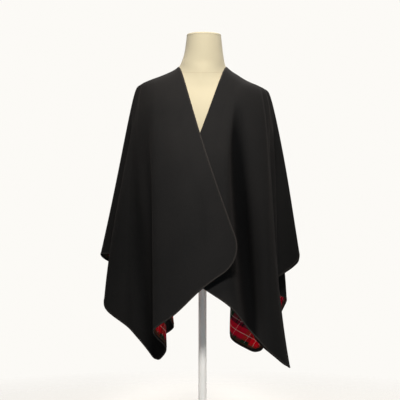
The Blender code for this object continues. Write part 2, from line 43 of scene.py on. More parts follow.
def knotSlopes(knots, values):
    # slope at each inner knot from the parabola through it and its neighbours, and at the ends
    # the slope that leaves the curve straight there
    if len(knots) == 2:
        return np.full(2, (values[1] - values[0]) / (knots[1] - knots[0]))
    steps = np.diff(knots)
    rises = np.diff(values) / steps
    inner = (steps[1:] * rises[:-1] + steps[:-1] * rises[1:]) / (steps[1:] + steps[:-1])
    ends = 1.5 * rises[[0, -1]] - 0.5 * inner[[0, -1]]
    return np.concatenate((ends[:1], inner, ends[1:]))


def smoothCurve(knots, values, places, corners=()):
    # cubic through the knots with the slopes above; it may kink at the corner knots, and f is
    # the share of the way from one knot to the next
    knots, values = np.asarray(knots, float), np.asarray(values, float)
    places = np.asarray(places, float)
    result = np.empty_like(places)
    bounds = [0, *corners, len(knots) - 1]
    for first, last in zip(bounds[:-1], bounds[1:]):
        own, height = knots[first:last + 1], values[first:last + 1]
        slopes = knotSlopes(own, height)
        inside = (places >= own[0]) & (places <= own[-1])
        cell = np.clip(np.searchsorted(own, places[inside], side="right") - 1, 0, len(own) - 2)
        width = own[cell + 1] - own[cell]
        f = (places[inside] - own[cell]) / width
        result[inside] = (
            (2 * f**3 - 3 * f**2 + 1) * height[cell]
            + (f**3 - 2 * f**2 + f) * width * slopes[cell]
            + (3 * f**2 - 2 * f**3) * height[cell + 1]
            + (f**3 - f**2) * width * slopes[cell + 1]
        )
    return result


def length(vectors):
    # of one vector, or of each in an array
    return np.linalg.norm(vectors, axis=-1)


def unit(vectors):
    # the same directions with length one
    return vectors / np.maximum(length(vectors)[..., None], 1e-12)


def runningLength(points):
    # distance along a line of points, from its first
    return np.concatenate(([0.0], np.cumsum(length(np.diff(points, axis=0)))))


# the shoulder line, from which the fold lines hang: reach along it from the nape, plan x and y,
# height on the wearer's right and left, and how softly the cloth bends over it
shoulderTable = np.array([
    (0.0, 0.0, 6.9, 1.4, 1.4, 0.06),
    (4.0, 3.9, 5.9, 1.2, 1.2, 0.07),
    (8.0, 6.7, 3.5, 0.7, 0.7, 0.09),
    (12.0, 7.6, 0.4, 0.0, 0.0, 0.12),
    (14.0, 9.2, 0.5, -1.1, -1.3, 0.12),
    (16.0, 10.9, 0.5, -1.95, -2.4, 0.12),
    (18.5, 13.2, 0.6, -2.9, -3.85, 0.12),
    (21.0, 15.6, 0.8, -3.75, -5.0, 0.12),
    (23.0, 17.4, 1.3, -4.4, -5.75, 0.10),
    (24.5, 18.8, 1.7, -5.0, -6.4, 0.09),
    (25.5, 19.7, 1.7, -5.6, -6.9, 0.08),
    (27.0, 21.0, 1.7, -6.6, -7.8, 0.06),
])
neckReach = 12.0  # up to here the line is the neck's edge, and beyond it the shoulder
neckKnot = 3  # row of shoulderTable with that reach

# each fold line: reach of its top, x and y at chest, waist and hem, height of the hem, and
# the radius that its turn is opened to; a negative reach is on the wearer's right
reachAt, chestAt, waistAt, hemAt, heightAt, turnAt = 0, 1, 3, 5, 7, 8
foldTable = [
    (-12.0, -4.2, -10.0, 2.6, -16.6, 12.2, -18.8, -59.2, 0),        # 0 right front's slit edge
    (-15.0, -7.6, -11.4, -2.6, -17.6, 0.1, -18.8, -67.5, 0),        # 1 middle
    (-17.8, -11.5, -12.0, -8.8, -17.6, -8.7, -18.3, -75.7, 0),      # 2 over the bust
    (-20.3, -15.0, -11.5, -15.0, -16.0, -14.8, -16.5, -80.3, 0.6),  # 3 front ridge
    (-22.5, -17.4, -9.2, -14.5, -11.0, -11.1, -9.0, -87.1, 0),      # 4 turned back
    (-23.6, -19.3, -6.5, -17.5, -6.5, -14.3, -4.0, -92.0, 0),       # 5 corner of the cloth
    (-24.3, -20.6, -3.8, -22.2, -4.0, -22.2, -2.5, -82.0, 0),       # 6 side edge
    (-24.9, -21.6, -1.7, -26.5, -1.6, -30.6, -1.0, -72.7, 0.8),     # 7 arm ridge
    (-25.5, -22.1, 0.1, -21.0, 1.1, -17.5, 2.2, -58.0, 0.4),        # 8 arm valley
    (-26.2, -23.3, 2.05, -27.4, 3.4, -32.4, 4.4, -58.7, 0.9),       # 9 right arm fold
    (-25.5, -22.1, 4.4, -21.4, 6.2, -20.5, 7.4, -66.0, 0),          # 10 arm valley
    (-24.8, -21.2, 6.2, -16.2, 8.0, -9.3, 9.6, -82.2, 0.5),         # 11 side edge, turned in
    (-23.8, -20.6, 8.0, -18.8, 10.2, -17.2, 11.6, -88.4, 0.7),      # 12 right corner
    (-22.0, -18.6, 9.9, -15.6, 12.6, -11.4, 13.8, -83.0, 0.6),      # 13 turned in
    (-19.6, -16.2, 11.6, -19.4, 15.2, -23.5, 15.8, -77.5, 0.9),     # 14 turned back
    (-16.5, -12.0, 11.9, -13.0, 16.0, -14.5, 18.0, -74.0, 0),       # 15 right flute
    (-12.0, -7.6, 12.0, -7.4, 14.0, -7.6, 14.9, -71.5, 0),          # 16 right trough
    (-6.0, -3.8, 12.1, -3.7, 14.6, -3.8, 15.8, -70.0, 0),           # 17 beside the middle
    (0.0, 0.0, 12.0, 0.0, 14.8, 0.0, 16.4, -69.3, 0),               # 18 middle
    (6.0, 3.8, 12.1, 3.7, 14.6, 3.8, 15.8, -70.0, 0),               # 19 beside the middle
    (12.0, 7.6, 12.0, 7.4, 14.0, 7.6, 14.9, -71.5, 0),              # 20 left trough
    (16.5, 12.0, 11.9, 13.0, 16.0, 14.5, 18.0, -74.0, 0),           # 21 left flute
    (19.6, 16.2, 11.6, 19.4, 15.2, 23.5, 15.8, -78.5, 0.9),         # 22 turned back
    (22.0, 18.2, 9.6, 13.2, 12.0, 9.3, 12.4, -85.2, 0.4),           # 23 turned in
    (23.8, 20.2, 8.3, 19.3, 10.8, 18.0, 11.0, -92.0, 0),            # 24 left corner
    (24.8, 21.4, 6.3, 24.6, 8.8, 27.2, 10.2, -74.3, 0.9),           # 25 arm ridge
    (25.5, 22.2, 4.4, 21.0, 6.4, 20.0, 7.8, -69.5, 0.4),            # 26 arm valley
    (26.2, 23.5, 2.01, 27.4, 3.4, 31.2, 5.2, -59.8, 0.9),           # 27 left arm fold
    (25.5, 22.2, 0.1, 20.4, 1.5, 17.5, 2.8, -71.0, 0.4),            # 28 arm valley
    (24.9, 21.7, -1.6, 22.9, -0.9, 24.5, 0.2, -74.0, 0.8),          # 29 arm ridge
    (24.2, 20.9, -3.8, 18.4, -3.9, 16.0, -3.6, -84.0, 0.4),         # 30 turned back
    (23.5, 20.1, -6.3, 22.3, -8.2, 26.9, -8.0, -94.7, 1.0),         # 31 corner of the cloth
    (22.0, 17.4, -9.2, 18.0, -12.8, 19.3, -14.2, -86.3, 0),         # 32 ridge
    (20.2, 11.5, -10.7, 12.3, -10.0, 14.6, -12.6, -81.2, 0),        # 33 trough
    (17.8, 8.8, -11.4, 7.0, -15.9, 8.0, -17.3, -73.1, 0),           # 34 over the bust
    (15.0, 6.2, -10.8, 2.0, -15.7, 0.1, -17.3, -67.6, 0),           # 35 middle
    (12.0, 3.6, -9.8, -4.5, -15.0, -11.5, -16.2, -58.0, 0),         # 36 left front's slit edge
]
rightArm, middleBack, leftArm = 9, 18, 27
rightFront, rightBack, leftBack, leftFront = 5, 12, 24, 31  # the cloth's outer corners
neckRows = (16, 20)  # the back of the neck lies between these rows
cornerRows = (rightFront, rightBack, leftBack, leftArm, leftFront)  # rounded by the cut
rollDepth = 0.7  # of a turn's radius, that the lines beside it lie further in
stations = (0.0, 0.25, 0.6, 1.0)  # shares of the way down: top, chest, waist and hem


def openedFolds():
    # each rolled turn gets a line on either side, one radius along the ring and a little back
    table = np.array(foldTable, float)
    lines, numbers = [], []
    for index, own in enumerate(table):
        before, after = table[index - 1], table[(index + 1) % len(table)]
        places = [slice(column, column + 2) for column in (chestAt, waistAt, hemAt)]
        spans = [min(length(own[xy] - before[xy]), length(after[xy] - own[xy])) for xy in places]
        sides = {-1: own.copy(), 1: own.copy()}
        for xy, span in zip(places, spans):
            along = (after[xy] - before[xy]) / 2
            outward = own[xy] - (before[xy] + after[xy]) / 2
            halfSpan, height = length(along), length(outward)
            radius = own[turnAt] * span / spans[-1]
            back = rollDepth * radius * height / (height + halfSpan)
            for way, side in sides.items():
                side[xy] += way * radius * along / halfSpan - back * outward / height
        hem, ends = places[-1], [reachAt, heightAt]
        for way, neighbour in ((-1, before), (1, after)):
            near = length(sides[way][hem] - own[hem]) / length(neighbour[hem] - own[hem])
            sides[way][ends] += near * (neighbour - own)[ends]
        opened = own[turnAt] > 0
        numbers.append(len(lines) + opened)
        lines += [sides[-1], own, sides[1]] if opened else [own]
    return np.array(lines), numbers


foldLines, lineNumbers = openedFolds()
edgeKnots = runningLength(foldLines[:, hemAt:heightAt + 1])
foldSpots = edgeKnots[lineNumbers]  # place of each row of foldTable along the edge
edgeLength = edgeKnots[-1]
tipSpots = foldSpots[list(cornerRows)]
print("drape", len(foldLines), "fold lines")

cut = {
    "halfWidth": 63.0, "front": 65.0, "back": 71.0,  # laid flat; front and back from the shoulder
    "slitCorner": 7.5, "tips": (3.0, 3.0, 3.0, 3.0, 5.5),  # radii of the corners, as cornerRows
    "band": 0.8,  # between the black cloth's edge and the tartan's
}


def flatOutline(spots):
    # place of each edge spot on the flat cut, in proportion between its corners and middles
    w, f, b = cut["halfWidth"], cut["front"], cut["back"]
    knots = foldSpots[[0, rightFront, rightArm, rightBack, middleBack, leftBack, leftArm, leftFront, -1]]
    across = (0, -w, -w, -w, 0, w, w, w, 0)
    along = (-f, -f, 0, b, b, b, 0, -f, -f)
    return np.interp(spots, knots, across), np.interp(spots, knots, along)


def ringTable():
    # everything a fold line needs, read at close spots round the edge and kept for lookups; the
    # plan curves are a weighted mean over 1.6 cm, so that no turn is sharp
    spots = np.linspace(0, edgeLength, 3001)
    shifts, weights = np.array((-0.8, -0.4, 0.0, 0.4, 0.8)), np.array((1, 2, 3, 2, 1)) / 9
    room = np.minimum(np.minimum(spots, edgeLength - spots) / shifts[-1], 1)
    read = {"spot": spots}
    for column, name in enumerate(("chestX", "chestY", "waistX", "waistY", "hemX", "hemY"), 1):
        moved = [smoothCurve(edgeKnots, foldLines[:, column], spots + shift * room) for shift in shifts]
        read[name] = sum(weight * curve for weight, curve in zip(weights, moved))
    tipKnots = tuple(lineNumbers[row] for row in cornerRows)
    read["hemZ"] = smoothCurve(edgeKnots, foldLines[:, heightAt], spots, corners=tipKnots)
    read["reach"] = reach = smoothCurve(edgeKnots, foldLines[:, reachAt], spots)
    size = np.minimum(np.abs(reach), shoulderTable[-1, 0])
    along = shoulderTable[:, 0]
    x, y, rightZ, leftZ, ease = [
        smoothCurve(along, column, size, corners=(neckKnot,)) for column in shoulderTable.T[1:]
    ]
    read["topX"], read["topY"], read["ease"] = np.sign(reach) * x, y, ease
    read["topZ"] = np.where(reach < 0, rightZ, leftZ)
    read["row"] = np.interp(spots, foldSpots, np.arange(len(foldTable)))
    read["flatHemX"], read["flatHemY"] = flatOutline(spots)
    read["flatTopX"] = np.sign(reach) * np.maximum(size - neckReach, 0)
    read["flatTopY"] = np.maximum(neckReach - size, 0)
    return read


ring = ringTable()


def lookUp(name, spots):
    # one value of the fold lines at any spots round the edge
    return np.interp(spots, ring["spot"], ring[name])


def drape(spots, shares):
    # point at a share of the way down a fold line: x and y are the cubic through its top,
    # chest, waist and hem; the height falls slowly over the shoulder and then evenly
    weights = []
    for own in stations:
        weight = np.ones_like(shares)
        for other in stations:
            if other != own:
                weight = weight * (shares - other) / (own - other)
        weights.append(weight)
    ease = lookUp("ease", spots)
    fall = (shares - ease * (1 - np.exp(-shares / ease))) / (1 - ease * (1 - np.exp(-1 / ease)))
    levels = list(zip(("top", "chest", "waist", "hem"), weights))
    x, y = [sum(weight * lookUp(name + axis, spots) for name, weight in levels) for axis in "XY"]
    topZ = lookUp("topZ", spots)
    z = topZ + fall * (lookUp("hemZ", spots) - topZ)
    return np.stack((x * cm, y * cm, neckPointHeight + z * cm), axis=-1)


# how far the shared directions beside the shoulder line (share of the way down) and at its
# ends (metres) reach, the direction at the ends, outwards and up, and half the stretch of the
# line that its slope is taken over (centimetres)
shoulderTurn = {"lineFade": 0.012, "endFade": 0.045, "endWay": (0.6, 0.8), "slopeStep": 0.3}


def drapeNormal(spots, shares):
    # cross product of the slopes round the ring and down the line; beside the shoulder line
    # the fronts and the back share one direction, so that the cloth runs over it unbroken
    step, fine = 0.05, 0.002
    ahead, behind = np.minimum(spots + step, edgeLength), np.maximum(spots - step, 0)
    around = drape(ahead, shares) - drape(behind, shares)
    down = drape(spots, np.minimum(shares + fine, 1)) - drape(spots, np.maximum(shares - fine, 0))
    normal = unit(np.cross(around, down))
    reach = np.abs(lookUp("reach", spots))
    side = np.sign(lookUp("reach", spots))
    apart, along = shoulderTurn["slopeStep"], shoulderTable[:, 0]
    size = np.clip(reach, neckReach, along[-1] - apart)
    run, rise = [
        np.interp(size + apart, along, column) - np.interp(size - apart, along, column)
        for column in (shoulderTable[:, 1], shoulderTable[:, 3])
    ]
    slope = rise / np.maximum(run, 0.01)
    seam = unit(np.stack((-side * slope, np.zeros_like(slope), np.ones_like(slope)), axis=-1))
    onSeam = np.exp(-(shares / shoulderTurn["lineFade"]) ** 2) * (reach >= neckReach)
    normal = unit(normal + onSeam[..., None] * (seam - normal))
    outwards, up = shoulderTurn["endWay"]
    for row, way in ((rightArm, -1), (leftArm, 1)):
        end = drape(np.array([foldSpots[row]]), np.zeros(1))[0]
        own = np.clip(length(drape(spots, shares) - end) / shoulderTurn["endFade"], 0, 1)[..., None] ** 2
        shared = np.array((way * outwards, 0.0, up))
        normal = unit(shared + own * (normal - shared))
    return normal


def lineLength(spots, steps=33):
    # length of the fold lines, in centimetres
    shares = np.linspace(0, 1, steps)
    grid = drape(np.repeat(spots[:, None], steps, 1), np.repeat(shares[None], len(spots), 0))
    return length(np.diff(grid, axis=1)).sum(axis=1) / cm


ring["length"] = np.interp(ring["spot"], ring["spot"][::10], lineLength(ring["spot"][::10]))


def cornerTrim(distance, radius, inset):
    # what a round corner takes off a fold line that ends this far from the corner
    reach = np.clip(radius - distance, 0.0, radius - inset)
    return radius - np.sqrt(np.maximum((radius - inset) ** 2 - reach**2, 0.0))


def edgeShare(spots, inset=0.0):
    # share of the way down at which the cloth ends, or its edge band begins
    trim = cornerTrim(np.minimum(spots, edgeLength - spots), cut["slitCorner"], inset)
    for tip, radius in zip(tipSpots, cut["tips"]):
        closeness = np.clip(1 - np.abs(spots - tip) / radius, 0, 1)
        trim = trim + (np.sqrt(2) - 1) * (radius * closeness**2 + inset * closeness)
    share = 1 - trim / lookUp("length", spots)
    if inset:
        share = np.minimum(share, edgeShare(spots) - inset / 2 / lookUp("length", spots))
    return share


# creases placed on the fold lines, from (row of foldTable, share of the way down) to
# (row, share), with width in cm and lift in mm
creaseTable = [
    # right front
    (3.45, 0.20, 3.60, 0.98, 3.2, -4.0),
    (2.75, 0.30, 2.80, 0.95, 1.5, 1.6),
    (2.3, 0.27, 1.1, 0.20, 1.6, 1.2),
    (1.9, 0.36, 0.7, 0.31, 2.2, -0.9),
    (1.5, 0.52, 1.8, 0.96, 2.6, 1.3),
    (0.75, 0.60, 0.95, 0.93, 1.8, -1.0),
    (2.2, 0.62, 2.35, 0.98, 2.0, -1.3),
    (4.6, 0.35, 4.5, 0.90, 2.0, 1.8),
    (5.6, 0.30, 5.7, 0.86, 2.4, -2.2),
    (6.4, 0.48, 6.35, 0.97, 1.8, 1.6),
    # left front
    (33.25, 0.16, 33.3, 0.97, 3.4, -6.0),
    (32.3, 0.30, 32.3, 0.93, 1.8, 2.0),
    (34.6, 0.05, 34.0, 0.24, 1.2, -1.3),
    (34.1, 0.10, 33.75, 0.34, 1.4, 1.2),
    (34.3, 0.48, 34.5, 0.97, 2.2, -1.6),
    (35.2, 0.55, 35.0, 0.96, 2.0, 1.0),
    (31.5, 0.42, 31.6, 0.92, 1.6, -1.6),
    (30.4, 0.22, 30.5, 0.80, 1.6, -2.0),
    (29.3, 0.30, 29.4, 0.85, 1.8, 1.4),
    # back
    (14.6, 0.18, 14.7, 0.95, 2.0, 1.8),
    (15.5, 0.26, 15.6, 0.92, 2.2, -2.4),
    (16.5, 0.40, 16.6, 0.95, 1.8, 1.5),
    (17.5, 0.33, 17.3, 0.86, 2.2, -1.2),
    (18.4, 0.22, 18.7, 0.74, 2.0, 1.2),
    (19.4, 0.45, 19.5, 0.96, 1.8, -1.6),
    (20.5, 0.25, 20.4, 0.93, 2.4, -2.2),
    (21.5, 0.30, 21.4, 0.88, 1.8, 1.6),
    (23.5, 0.35, 23.4, 0.92, 2.0, -1.8),
    (25.6, 0.28, 25.5, 0.80, 1.6, -1.5),
    (16.6, 0.14, 19.3, 0.15, 1.5, 0.9),
    (17.0, 0.24, 19.0, 0.22, 1.8, -0.8),
]


# broad shallow waves: lift in mm, turn from row to row and down the line, and start
waveTable = [(0.6, 1.9, 5.0, 0.0), (0.4, 0.83, -7.1, 1.3)]
creaseFades = {"waves": (0.15, 0.5), "all": (0.03, 0.12)}  # shares of the way down: start, length


def creaseLift(spots, shares):
    # sum of soft ridges and troughs: each falls off as a bell with the distance from its line
    # and fades at its ends; the waves keep the cloth between them from lying flat
    row, down = lookUp("row", spots), lookUp("length", spots)
    beside = np.minimum(spots + 0.3, edgeLength)
    rowStep = np.maximum(lookUp("row", beside) - row, 1e-3)
    perRow = np.clip(length(drape(beside, shares) - drape(spots, shares)) / cm / rowStep, 0.5, 40)
    lift = np.zeros_like(shares)
    for startRow, startShare, endRow, endShare, width, height in creaseTable:
        x, y = (row - startRow) * perRow, (shares - startShare) * down
        wholeX, wholeY = (endRow - startRow) * perRow, (endShare - startShare) * down
        t = np.clip((x * wholeX + y * wholeY) / (wholeX**2 + wholeY**2), 0, 1)
        away = np.hypot(x - t * wholeX, y - t * wholeY)
        lift += height * np.exp(-(away / width) ** 2) * (1 - np.abs(2 * t - 1) ** 3)
    begin, over = creaseFades["waves"]
    waves = sum(size * np.sin(turn * row + fall * shares + start) for size, turn, fall, start in waveTable)
    lift += waves * np.clip((shares - begin) / over, 0, 1)
    begin, over = creaseFades["all"]
    fade = np.clip((shares - begin) / over, 0, 1)
    return lift * fade * fade * (3 - 2 * fade) * mm


def clothSurface(spots, shares):
    # outside of the cloth with its creases, and its normals
    points, normals = drape(spots, shares), drapeNormal(spots, shares)
    return points + normals * creaseLift(spots, shares)[..., None], normals


# painted shade in the wool's folds: the mean is taken this far round the ring either way, and a fold or a
# crease this deep is shaded fully
foldShade = {"reach": 9.0, "deep": 1.1, "creased": 0.8}  # centimetres


def foldDepth(spots, shares, normals):
    # 0 to 1: how far the cloth lies inside the mean of the ring around it, and how deep its
    # creases are; this is the mask of the shade painted into the wool's folds
    shifts = np.linspace(-foldShade["reach"], foldShade["reach"], 9)
    around = sum(drape(np.clip(spots + shift, 0, edgeLength), shares) for shift in shifts) / len(shifts)
    inside = np.sum((around - drape(spots, shares)) * normals, axis=-1) / cm
    creased = -creaseLift(spots, shares) / cm
    return np.clip(inside / foldShade["deep"] + creased / foldShade["creased"], 0, 1)


def flatPlace(spots, shares):
    # place on the flat cut, in metres
    x = lookUp("flatTopX", spots) * (1 - shares) + lookUp("flatHemX", spots) * shares
    y = lookUp("flatTopY", spots) * (1 - shares) + lookUp("flatHemY", spots) * shares
    return np.stack((x, y), axis=-1) * cm


def makeObject(name, points, faces, material, slot, replaced=(), flat=None, paintedShadeMask=None, crisp=None):
    # one mesh object, riding on the part's only body, smooth but for edges sharper than crisp
    mesh = bpy.data.meshes.new(name)
    mesh.vertices.add(len(points))
    mesh.vertices.foreach_set("co", np.asarray(points, np.float32).ravel())
    count, sides = faces.shape
    mesh.loops.add(count * sides)
    mesh.polygons.add(count)
    mesh.polygons.foreach_set("loop_start", np.arange(count, dtype=np.int32) * sides)
    mesh.loops.foreach_set("vertex_index", faces.astype(np.int32).ravel())
    mesh.update(calc_edges=True)
    if flat is not None:
        layer = mesh.uv_layers.new(name="flatCut")
        layer.data.foreach_set("uv", flat[faces.ravel()].astype(np.float32).ravel())
    # each point's share of the shade painted into the folds
    if paintedShadeMask is not None:
        layer = mesh.attributes.new("paintedShadeMask", "FLOAT", "POINT")
        layer.data.foreach_set("value", paintedShadeMask.astype(np.float32))
    mesh.validate()
    mesh.shade_smooth()
    if crisp is not None:
        mesh.set_sharp_from_angle(angle=np.radians(crisp))
    thing = bpy.data.objects.new(name, mesh)
    bpy.context.scene.collection.objects.link(thing)
    thing.data.materials.append(material)
    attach(thing, "root")
    if replaced:
        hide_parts(*replaced)
    return thing


def gridFaces(rows, columns, wrapRows=False, wrapColumns=False):
    # quads of a grid of points stored row by row
    i = np.arange(rows if wrapRows else rows - 1)
    j = np.arange(columns if wrapColumns else columns - 1)
    i, j = [a.ravel() for a in np.meshgrid(i, j, indexing="ij")]
    here, below = i * columns, (i + 1) % rows * columns
    after = (j + 1) % columns
    return np.stack((here + j, below + j, below + after, here + after), axis=1)


def splitQuads(quads):
    # two triangles for each quad
    return np.concatenate((quads[:, [0, 1, 2]], quads[:, [0, 2, 3]]))


def wallFaces(rows, columns):
    # an outer and an inner grid, joined round their rim
    outer = gridFaces(rows, columns)
    count = rows * columns
    inner = outer[:, ::-1] + count
    rim = np.concatenate((
        np.arange(rows) * columns,
        (rows - 1) * columns + np.arange(1, columns),
        np.arange(rows - 2, -1, -1) * columns + columns - 1,
        np.arange(columns - 2, 0, -1),
    ))
    after = np.roll(rim, -1)
    sides = np.stack((rim, rim + count, after + count, after), axis=1)
    return np.concatenate((outer, inner, sides))


def newGroup(name, inputs, outputs):
    # a node group with its sockets; inputs are (name, kind, value)
    group = bpy.data.node_groups.new(name, "ShaderNodeTree")
    for label, kind, value in inputs:
        socket = group.interface.new_socket(name=label, in_out="INPUT", socket_type=kind)
        if value is not None:
            socket.default_value = value
    for label, kind in outputs:
        group.interface.new_socket(name=label, in_out="OUTPUT", socket_type=kind)
    return group, group.nodes.new("NodeGroupInput"), group.nodes.new("NodeGroupOutput")


def addMath(tree, operation, first, second=None, third=None, clamp=False):
    # a Math node; numbers and sockets may both be given
    node = tree.nodes.new("ShaderNodeMath")
    node.operation = operation
    node.use_clamp = clamp
    for index, value in enumerate((first, second, third)):
        if value is None:
            continue
        if isinstance(value, (int, float)):
            node.inputs[index].default_value = value
        else:
            tree.links.new(value, node.inputs[index])
    return node.outputs[0]


def addMix(tree, factor, first, second):
    # mixes two colours, given as sockets or as values
    node = tree.nodes.new("ShaderNodeMix")
    node.data_type = "RGBA"
    for socket, value in ((node.inputs[0], factor), (node.inputs[6], first), (node.inputs[7], second)):
        if isinstance(value, bpy.types.NodeSocket):
            tree.links.new(value, socket)
        else:
            socket.default_value = value
    return node.outputs[2]


def splitPlace(tree, place):
    # the x, y and z of coordinates
    split = tree.nodes.new("ShaderNodeSeparateXYZ")
    tree.links.new(place, split.inputs[0])
    return split.outputs


def twillGroup():
    # diagonal of a 2/2 twill on the flat cut: which thread shows, and how high it stands
    group, given, out = newGroup(
        "twillWeave", [("Place", "NodeSocketVector", None), ("Threads", "NodeSocketFloat", 700.0)],
        [("Weft shows", "NodeSocketFloat"), ("Height", "NodeSocketFloat")])
    x, y = splitPlace(group, given.outputs["Place"])[:2]
    x, y = [addMath(group, "MULTIPLY", value, given.outputs["Threads"]) for value in (x, y)]
    diagonal = addMath(group, "FRACT", addMath(group, "MULTIPLY", addMath(group, "ADD", x, y), 0.25))
    shows = addMath(group, "GREATER_THAN", diagonal, 0.5)
    rib = addMath(group, "SINE", addMath(group, "MULTIPLY", diagonal, 2 * np.pi))
    thread = addMath(group, "SINE", addMath(group, "MULTIPLY", addMath(group, "SUBTRACT", x, y), np.pi))
    height = addMath(group, "MULTIPLY_ADD", rib, 0.35, addMath(group, "MULTIPLY_ADD", thread, 0.15, 0.5))
    group.links.new(shows, out.inputs["Weft shows"])
    group.links.new(height, out.inputs["Height"])
    return group


def napGroup():
    # raised fibres: fine speckle, and a slow drift of tone over the cloth
    group, given, out = newGroup(
        "woolNap", [("Place", "NodeSocketVector", None), ("Fibre scale", "NodeSocketFloat", 900.0),
                    ("Drift scale", "NodeSocketFloat", 5.0)],
        [("Fibres", "NodeSocketFloat"), ("Drift", "NodeSocketFloat"), ("Height", "NodeSocketFloat")])
    tuftScale = addMath(group, "MULTIPLY", given.outputs["Fibre scale"], 0.16)
    scales = (given.outputs["Fibre scale"], given.outputs["Drift scale"], tuftScale)
    noises = []
    for scale, detail in zip(scales, (3.0, 2.0, 4.0)):
        noise = group.nodes.new("ShaderNodeTexNoise")
        noise.inputs["Detail"].default_value = detail
        group.links.new(given.outputs["Place"], noise.inputs["Vector"])
        group.links.new(scale, noise.inputs["Scale"])
        noises.append(noise.outputs["Fac"])
    fibres, drift, tufts = noises
    height = addMath(group, "MULTIPLY_ADD", fibres, 0.5, addMath(group, "MULTIPLY", tufts, 0.5))
    group.links.new(fibres, out.inputs["Fibres"])
    group.links.new(drift, out.inputs["Drift"])
    group.links.new(height, out.inputs["Height"])
    return group


# in each material's dictionary, steady holds values of the shader's own sockets, and a bump is
# its depth in metres and its strength
tartanSett = {
    "border": 0.45, "borderShade": 0.85,  # a dark border along the edges: width, and how dark
    # one repeat, from its start: each stripe's colour and its width in centimetres
    "stripes": [
        ("green", 1.0), ("red", 1.45), ("white", 0.13), ("red", 1.45), ("black", 1.1),
        ("white", 0.10), ("green", 1.2), ("crimson", 2.0), ("black", 0.35), ("crimson", 0.9),
        ("white", 0.13), ("crimson", 0.9), ("black", 0.35), ("crimson", 2.0), ("green", 1.2),
        ("white", 0.10), ("black", 1.1), ("red", 1.45), ("white", 0.13), ("red", 1.45),
    ],
    "colours": {
        "red": (0.80, 0.003, 0.014, 1), "crimson": (0.24, 0.003, 0.030, 1),
        "green": (0.010, 0.030, 0.014, 1), "black": (0.005, 0.005, 0.006, 1),
        "white": (0.90, 0.76, 0.68, 1),
    },
    "weave": 1100.0, "fibres": 900.0, "drift": 8.0, "fibreShade": 0.5, "fibreDark": 0.45,
    "weaveBump": (0.0003, 0.7), "fibreBump": (0.0003, 0.5),
    "steady": {"Metallic": 0.0, "Roughness": 0.9, "Specular IOR Level": 0.08, "Sheen Weight": 0.02},
}


def settGroup():
    # stripes in order along one direction of the cloth, repeated for ever
    group, given, out = newGroup(
        "tartanStripes", [("Distance", "NodeSocketFloat", 0.0)], [("Color", "NodeSocketColor")])
    stripes = tartanSett["stripes"]
    period = sum(width for colour, width in stripes)
    turn = addMath(group, "FRACT", addMath(group, "DIVIDE", given.outputs["Distance"], period * cm))
    ramp = group.nodes.new("ShaderNodeValToRGB")
    ramp.color_ramp.interpolation = "CONSTANT"
    elements = ramp.color_ramp.elements
    elements.remove(elements[1])
    start = 0.0
    for index, (colour, width) in enumerate(stripes):
        element = elements[0] if index == 0 else elements.new(start / period)
        element.position = start / period
        element.color = tartanSett["colours"][colour]
        start += width
    group.links.new(turn, ramp.inputs[0])
    group.links.new(ramp.outputs["Color"], out.inputs["Color"])
    return group


twill, nap, sett = twillGroup(), napGroup(), settGroup()


def startMaterial(name, steady):
    # a Principled material with its steady values set on its own sockets
    material = bpy.data.materials.new(name)
    material.use_nodes = True
    tree = material.node_tree
    shader = tree.nodes["Principled BSDF"]
    for label, value in steady.items():
        shader.inputs[label].default_value = value
    return material, tree, shader


def placeOn(tree, kind):
    # the coordinates a pattern is laid out on
    return tree.nodes.new("ShaderNodeTexCoord").outputs[kind]


def addGroup(tree, group, **values):
    # one use of a shader group with its own values
    node = tree.nodes.new("ShaderNodeGroup")
    node.node_tree = group
    for label, value in values.items():
        socket = node.inputs[label.replace("_", " ")]
        if isinstance(value, bpy.types.NodeSocket):
            tree.links.new(value, socket)
        else:
            socket.default_value = value
    return node


def addBump(tree, shader, height, distance, strength, before=None):
    # a bump that feeds the shader's normal
    bump = tree.nodes.new("ShaderNodeBump")
    bump.inputs["Distance"].default_value = distance
    bump.inputs["Strength"].default_value = strength
    tree.links.new(height, bump.inputs["Height"])
    if before is not None:
        tree.links.new(before, bump.inputs["Normal"])
    tree.links.new(bump.outputs[0], shader.inputs["Normal"])
    return bump.outputs[0]


# deep is the colour of the shade painted into the bottom of the folds, and foldShade is how far the mask
# darkens towards it
blackWool = {
    "dark": (0.0070, 0.0074, 0.0077, 1), "light": (0.0182, 0.0172, 0.0166, 1),
    "deep": (0.0012, 0.0014, 0.0016, 1), "foldShade": 0.9, "sheen": 0.03,
}
# painted highlight: a lighter copy of the black wool for the turned edge, so that the edge shows a light
# line where its thickness catches the light; the stitches take the same colour as their dark grey thread
threadAndEdgeHighlightWool = {
    "dark": (0.012, 0.0115, 0.011, 1), "light": (0.040, 0.036, 0.033, 1),
    "deep": (0.0015, 0.0017, 0.0019, 1), "foldShade": 0.85, "sheen": 0.12,
}
woolNap = {
    "fibres": 700.0, "drift": 6.0, "weave": 900.0,
    "weaveBump": (0.0003, 0.6), "fibreBump": (0.0006, 0.8),
    "steady": {
        "Metallic": 0.0, "Roughness": 0.95, "Specular IOR Level": 0.05, "Sheen Roughness": 0.45,
        "Sheen Tint": (0.55, 0.5, 0.48, 1),
    },
}


